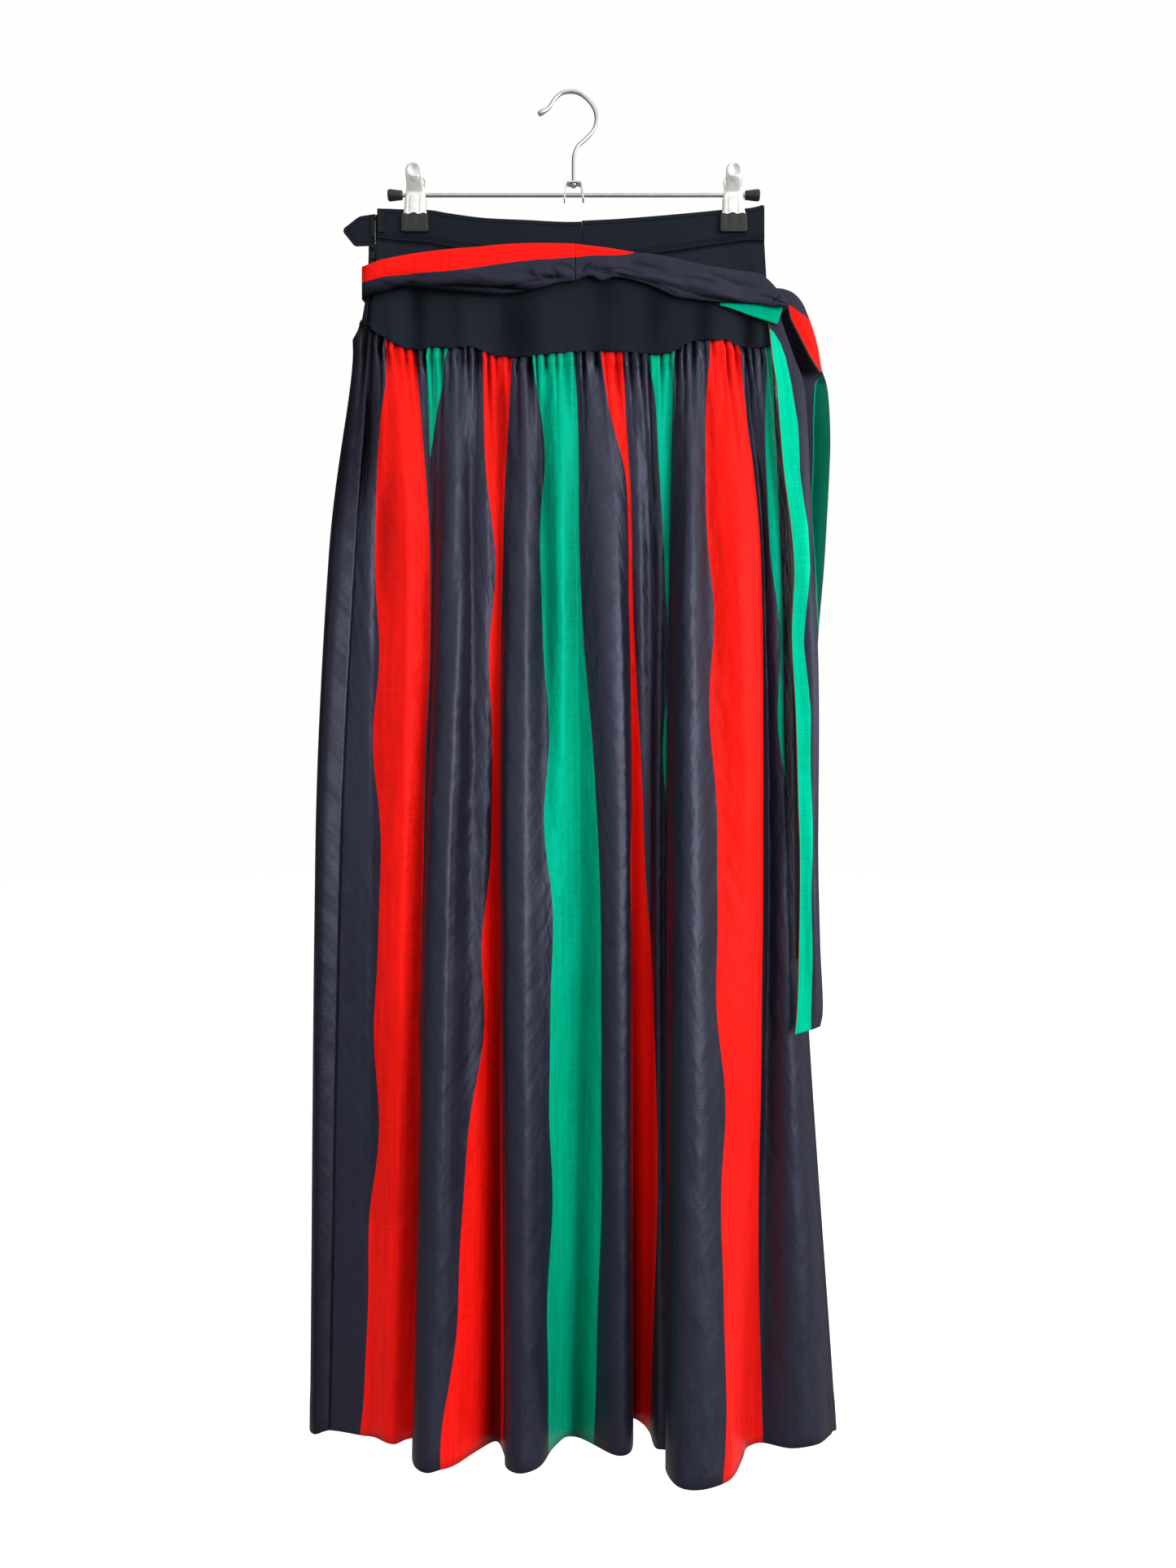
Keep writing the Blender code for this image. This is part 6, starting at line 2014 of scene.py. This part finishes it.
def zip_teeth():
    """The closed teeth down the middle of the tape, as one piece."""
    places = np.arange(TEETH_TOP_Z, TEETH_BOTTOM_Z, -TEETH_PITCH)
    x, y = zip_line(places)
    first = block((x[0] - 1.1, y[0] - 0.85, places[0]), TOOTH_SIZE)
    finished_with(first, "BEVEL", width=0.2 * MM, segments=1)
    copies = [first]
    for shift in np.stack([x - x[0], y - y[0], places - places[0]], axis=1)[1:]:
        other = first.copy()
        other.data = first.data.copy()
        corners_moved(other, corners_of(other) + shift)
        bpy.context.scene.collection.objects.link(other)
        copies.append(other)
    alone()
    for tooth in copies:
        tooth.select_set(True)
    bpy.context.view_layer.objects.active = first
    bpy.ops.object.join()
    kept(first, "zip_teeth_metal", "dull_plating", [])


def zip_pieces():
    """Tape, closed teeth, slider, pull tab and top stop."""
    heights = np.linspace(TAPE_TOP_Z, TAPE_BOTTOM_Z, 70)[:, None]
    x, y = zip_line(heights)
    sides = np.linspace(-0.5, 0.5, 9)
    chain = 0.25 * np.exp(-((sides / 0.16) ** 2))
    grid = np.stack([x + sides * TAPE_WIDTH, y - chain, heights + 0 * sides], axis=2)
    made = shell("zip_tape_cloth", grid, TAPE_WALL, finish_named("zip_tape_weave"))
    dressed(made, ["zip_tape"])
    slider_piece()
    plate_piece("zip_pull", PULL_CENTRE, PULL_SIZE, 0.7, 0.25, 0.15)
    plate_piece("zip_stop", STOP_CENTRE, STOP_SIZE, 0.35, 0.1, 0.12)
    zip_teeth()


def fastener_pieces():
    """The flat plate on the band's end and the catch bar on the tab."""
    plate_piece("fastener_plate", PLATE_CENTRE, PLATE_SIZE, 0.8, 0.3, 0.18)
    plate_piece("fastener_bar", CATCH_CENTRE, CATCH_SIZE, 0.6, 0.35, 0.3)


# Operators


class SKIRT_OT_panels(Operator):
    """Make the two gathered skirt panels"""

    bl_idname = "skirt.panels"
    bl_label = "Skirt panels"

    def execute(self, context):
        look = context.scene.cloth_look
        skirt_front_cloth(look)
        skirt_back_cloth(look)
        return {"FINISHED"}


class SKIRT_OT_yoke(Operator):
    """Make the front and back yoke"""

    bl_idname = "skirt.yoke"
    bl_label = "Yoke"

    def execute(self, context):
        yoke_cloths(context.scene.cloth_look)
        return {"FINISHED"}


class SKIRT_OT_waistband(Operator):
    """Make the waistband and its pointed tab"""

    bl_idname = "skirt.waistband"
    bl_label = "Waistband"

    def execute(self, context):
        waistband_cloths()
        tab_cloth()
        return {"FINISHED"}


class SKIRT_OT_sash(Operator):
    """Make the sash round the hips, its knot and its hanging ends"""

    bl_idname = "skirt.sash"
    bl_label = "Sash"

    def execute(self, context):
        sash_cloths(context.scene.cloth_look)
        knot_cloth()
        tail_cloths()
        return {"FINISHED"}


class SKIRT_OT_zip(Operator):
    """Make the zip and the fastener at the side opening"""

    bl_idname = "skirt.zip"
    bl_label = "Zip and fastener"

    def execute(self, context):
        zip_pieces()
        fastener_pieces()
        return {"FINISHED"}


class SKIRT_OT_hanger(Operator):
    """Make the hook, bar, caps and clips"""

    bl_idname = "skirt.hanger"
    bl_label = "Clip hanger"

    def execute(self, context):
        hook_piece(context.scene.hanger_look)
        bar_pieces()
        for place, middle_x in (("left", LEFT_CLIP_X), ("right", RIGHT_CLIP_X)):
            for which in ("front", "back"):
                jaw_piece(place, which, middle_x)
                pad_piece(place, which, middle_x)
        return {"FINISHED"}


def area_light(name, place, target, size, power, colour):
    """A soft square light that faces a point."""
    light = bpy.data.lights.new(name, "AREA")
    light.size = size
    light.energy = power
    light.color = colour
    made = bpy.data.objects.new(name, light)
    made.location = place
    away = np.array(place) - np.array(target)
    flat = math.hypot(away[0], away[1])
    made.rotation_euler = (math.atan2(flat, away[2]), 0.0, math.atan2(away[0], -away[1]))
    bpy.context.scene.collection.objects.link(made)


def studio_floor(look):
    """A wide pale floor below the hem."""
    alone()
    bpy.ops.mesh.primitive_circle_add(
        vertices=128, radius=9.0, fill_type="NGON", location=(0.0, 0.0, HEM_Z * MM - look.floor_drop)
    )
    floor = bpy.context.object
    bpy.ops.object.transform_apply(location=True, rotation=True, scale=True)
    floor.name = "studio_floor"
    made = Finish("pale_floor", 0.9)
    place = made.node("ShaderNodeTexCoord").outputs["Object"]
    speck = made.noise(place, (7.0, 7.0, 7.0), 4.0)
    pale = made.mixed(speck, (0.90, 0.895, 0.885, 1.0), (0.93, 0.925, 0.915, 1.0))
    seen_at_once = made.node("ShaderNodeLightPath").outputs["Is Camera Ray"]
    made.feed(made.shader.inputs["Base Color"], made.mixed(seen_at_once, (0.30, 0.295, 0.29, 1.0), pale))
    made.set("Emission Color", (1.0, 0.99, 0.975, 1.0))
    made.feed(made.shader.inputs["Emission Strength"], made.maths("MULTIPLY", seen_at_once, look.floor_glow))
    floor.data.materials.append(made.material)


def studio_world(look):
    """A pale room, seen nearly white, that lights most from the viewer's upper right."""
    world = bpy.data.worlds.new("pale_room")
    world.use_nodes = True
    tree = world.node_tree
    tree.nodes.clear()
    seen_as, lit_by = tree.nodes.new("ShaderNodeBackground"), tree.nodes.new("ShaderNodeBackground")
    seen_as.inputs["Color"].default_value = (0.995, 0.995, 0.99, 1.0)
    seen_as.inputs["Strength"].default_value = 1.0
    lit_by.inputs["Color"].default_value = (1.0, 0.99, 0.975, 1.0)
    place, along, level = (
        tree.nodes.new(k) for k in ("ShaderNodeTexCoord", "ShaderNodeVectorMath", "ShaderNodeMapRange")
    )
    along.operation = "DOT_PRODUCT"
    along.inputs[1].default_value = ROOM_LIGHT_FROM
    level.interpolation_type = "SMOOTHSTEP"
    strengths = (0.10 * look.ambient, 2.2 * look.ambient)
    for socket, value in zip(RANGE_SOCKETS, (-0.5, 1.0, *strengths)):
        level.inputs[socket].default_value = value
    tree.links.new(place.outputs["Generated"], along.inputs[0])
    tree.links.new(along.outputs["Value"], level.inputs["Value"])
    tree.links.new(level.outputs["Result"], lit_by.inputs["Strength"])
    ray, mix, out = (
        tree.nodes.new(k) for k in ("ShaderNodeLightPath", "ShaderNodeMixShader", "ShaderNodeOutputWorld")
    )
    tree.links.new(ray.outputs["Is Camera Ray"], mix.inputs[0])
    tree.links.new(lit_by.outputs[0], mix.inputs[1])
    tree.links.new(seen_as.outputs[0], mix.inputs[2])
    tree.links.new(mix.outputs[0], out.inputs["Surface"])
    bpy.context.scene.world = world


class SKIRT_OT_studio(Operator):
    """Make the floor, the soft lights and the camera"""

    bl_idname = "skirt.studio"
    bl_label = "Studio"

    def execute(self, context):
        look = context.scene.studio_look
        studio_floor(look)
        studio_world(look)
        middle = (0.0, 0.0, -0.62)
        area_light("key_light", (1.75, -1.9, -0.25), middle, 1.3, look.key, (1.0, 0.985, 0.96))
        area_light("fill_light", (-1.9, -1.5, -0.2), middle, 1.6, look.fill, (0.97, 0.98, 1.0))
        area_light("rear_light", (0.9, 2.0, 0.4), middle, 1.4, look.fill * 4.0, (1.0, 0.99, 0.97))
        context.scene.view_settings.view_transform = "Standard"
        lens = bpy.data.cameras.new("camera")
        lens.sensor_width = 36.0
        lens.lens = LENS
        lens.clip_start = 0.05
        lens.clip_end = 60.0
        camera = bpy.data.objects.new("camera", lens)
        camera.location = (EYE_X * MM, -EYE_DISTANCE * MM, EYE_Z * MM)
        camera.rotation_euler = (math.pi / 2, 0.0, 0.0)
        context.scene.collection.objects.link(camera)
        context.scene.camera = camera
        return {"FINISHED"}


OPERATORS = (
    SKIRT_OT_panels,
    SKIRT_OT_yoke,
    SKIRT_OT_waistband,
    SKIRT_OT_sash,
    SKIRT_OT_zip,
    SKIRT_OT_hanger,
    SKIRT_OT_studio,
)


LOOKS = (
    ("cloth_look", ("navy", "red", "green", "yoke", "thickness", "gather_depth", "crease_share", "wave")),
    ("hanger_look", ("wire_radius", "steel", "rubber")),
    ("studio_look", ("floor_drop", "floor_glow", "key", "fill", "ambient")),
)


class SKIRT_PT_sidebar(Panel):
    """The skirt's settings and the steps that make it"""

    bl_idname = "SKIRT_PT_sidebar"
    bl_label = "Gathered skirt"
    bl_space_type = "VIEW_3D"
    bl_region_type = "UI"
    bl_category = "Skirt"

    def draw(self, context):
        layout = self.layout
        for look, names in LOOKS:
            box = layout.box()
            for name in names:
                box.prop(getattr(context.scene, look), name)
        for operator in OPERATORS:
            layout.operator(operator.bl_idname)


CLASSES = (ClothLook, HangerLook, StudioLook, *OPERATORS, SKIRT_PT_sidebar)


def register():
    """Registers every class and the scene's three groups of settings."""
    for each in CLASSES:
        bpy.utils.register_class(each)
    bpy.types.Scene.cloth_look = PointerProperty(type=ClothLook)
    bpy.types.Scene.hanger_look = PointerProperty(type=HangerLook)
    bpy.types.Scene.studio_look = PointerProperty(type=StudioLook)


def unregister():
    """Takes the settings and classes away again."""
    del bpy.types.Scene.studio_look
    del bpy.types.Scene.hanger_look
    del bpy.types.Scene.cloth_look
    for each in reversed(CLASSES):
        bpy.utils.unregister_class(each)


def main():
    """Makes the pieces and the studio."""
    register()
    bpy.ops.skirt.panels()
    bpy.ops.skirt.yoke()
    bpy.ops.skirt.waistband()
    bpy.ops.skirt.sash()
    bpy.ops.skirt.zip()
    bpy.ops.skirt.hanger()
    bpy.ops.skirt.studio()


if __name__ == "__main__":
    main()
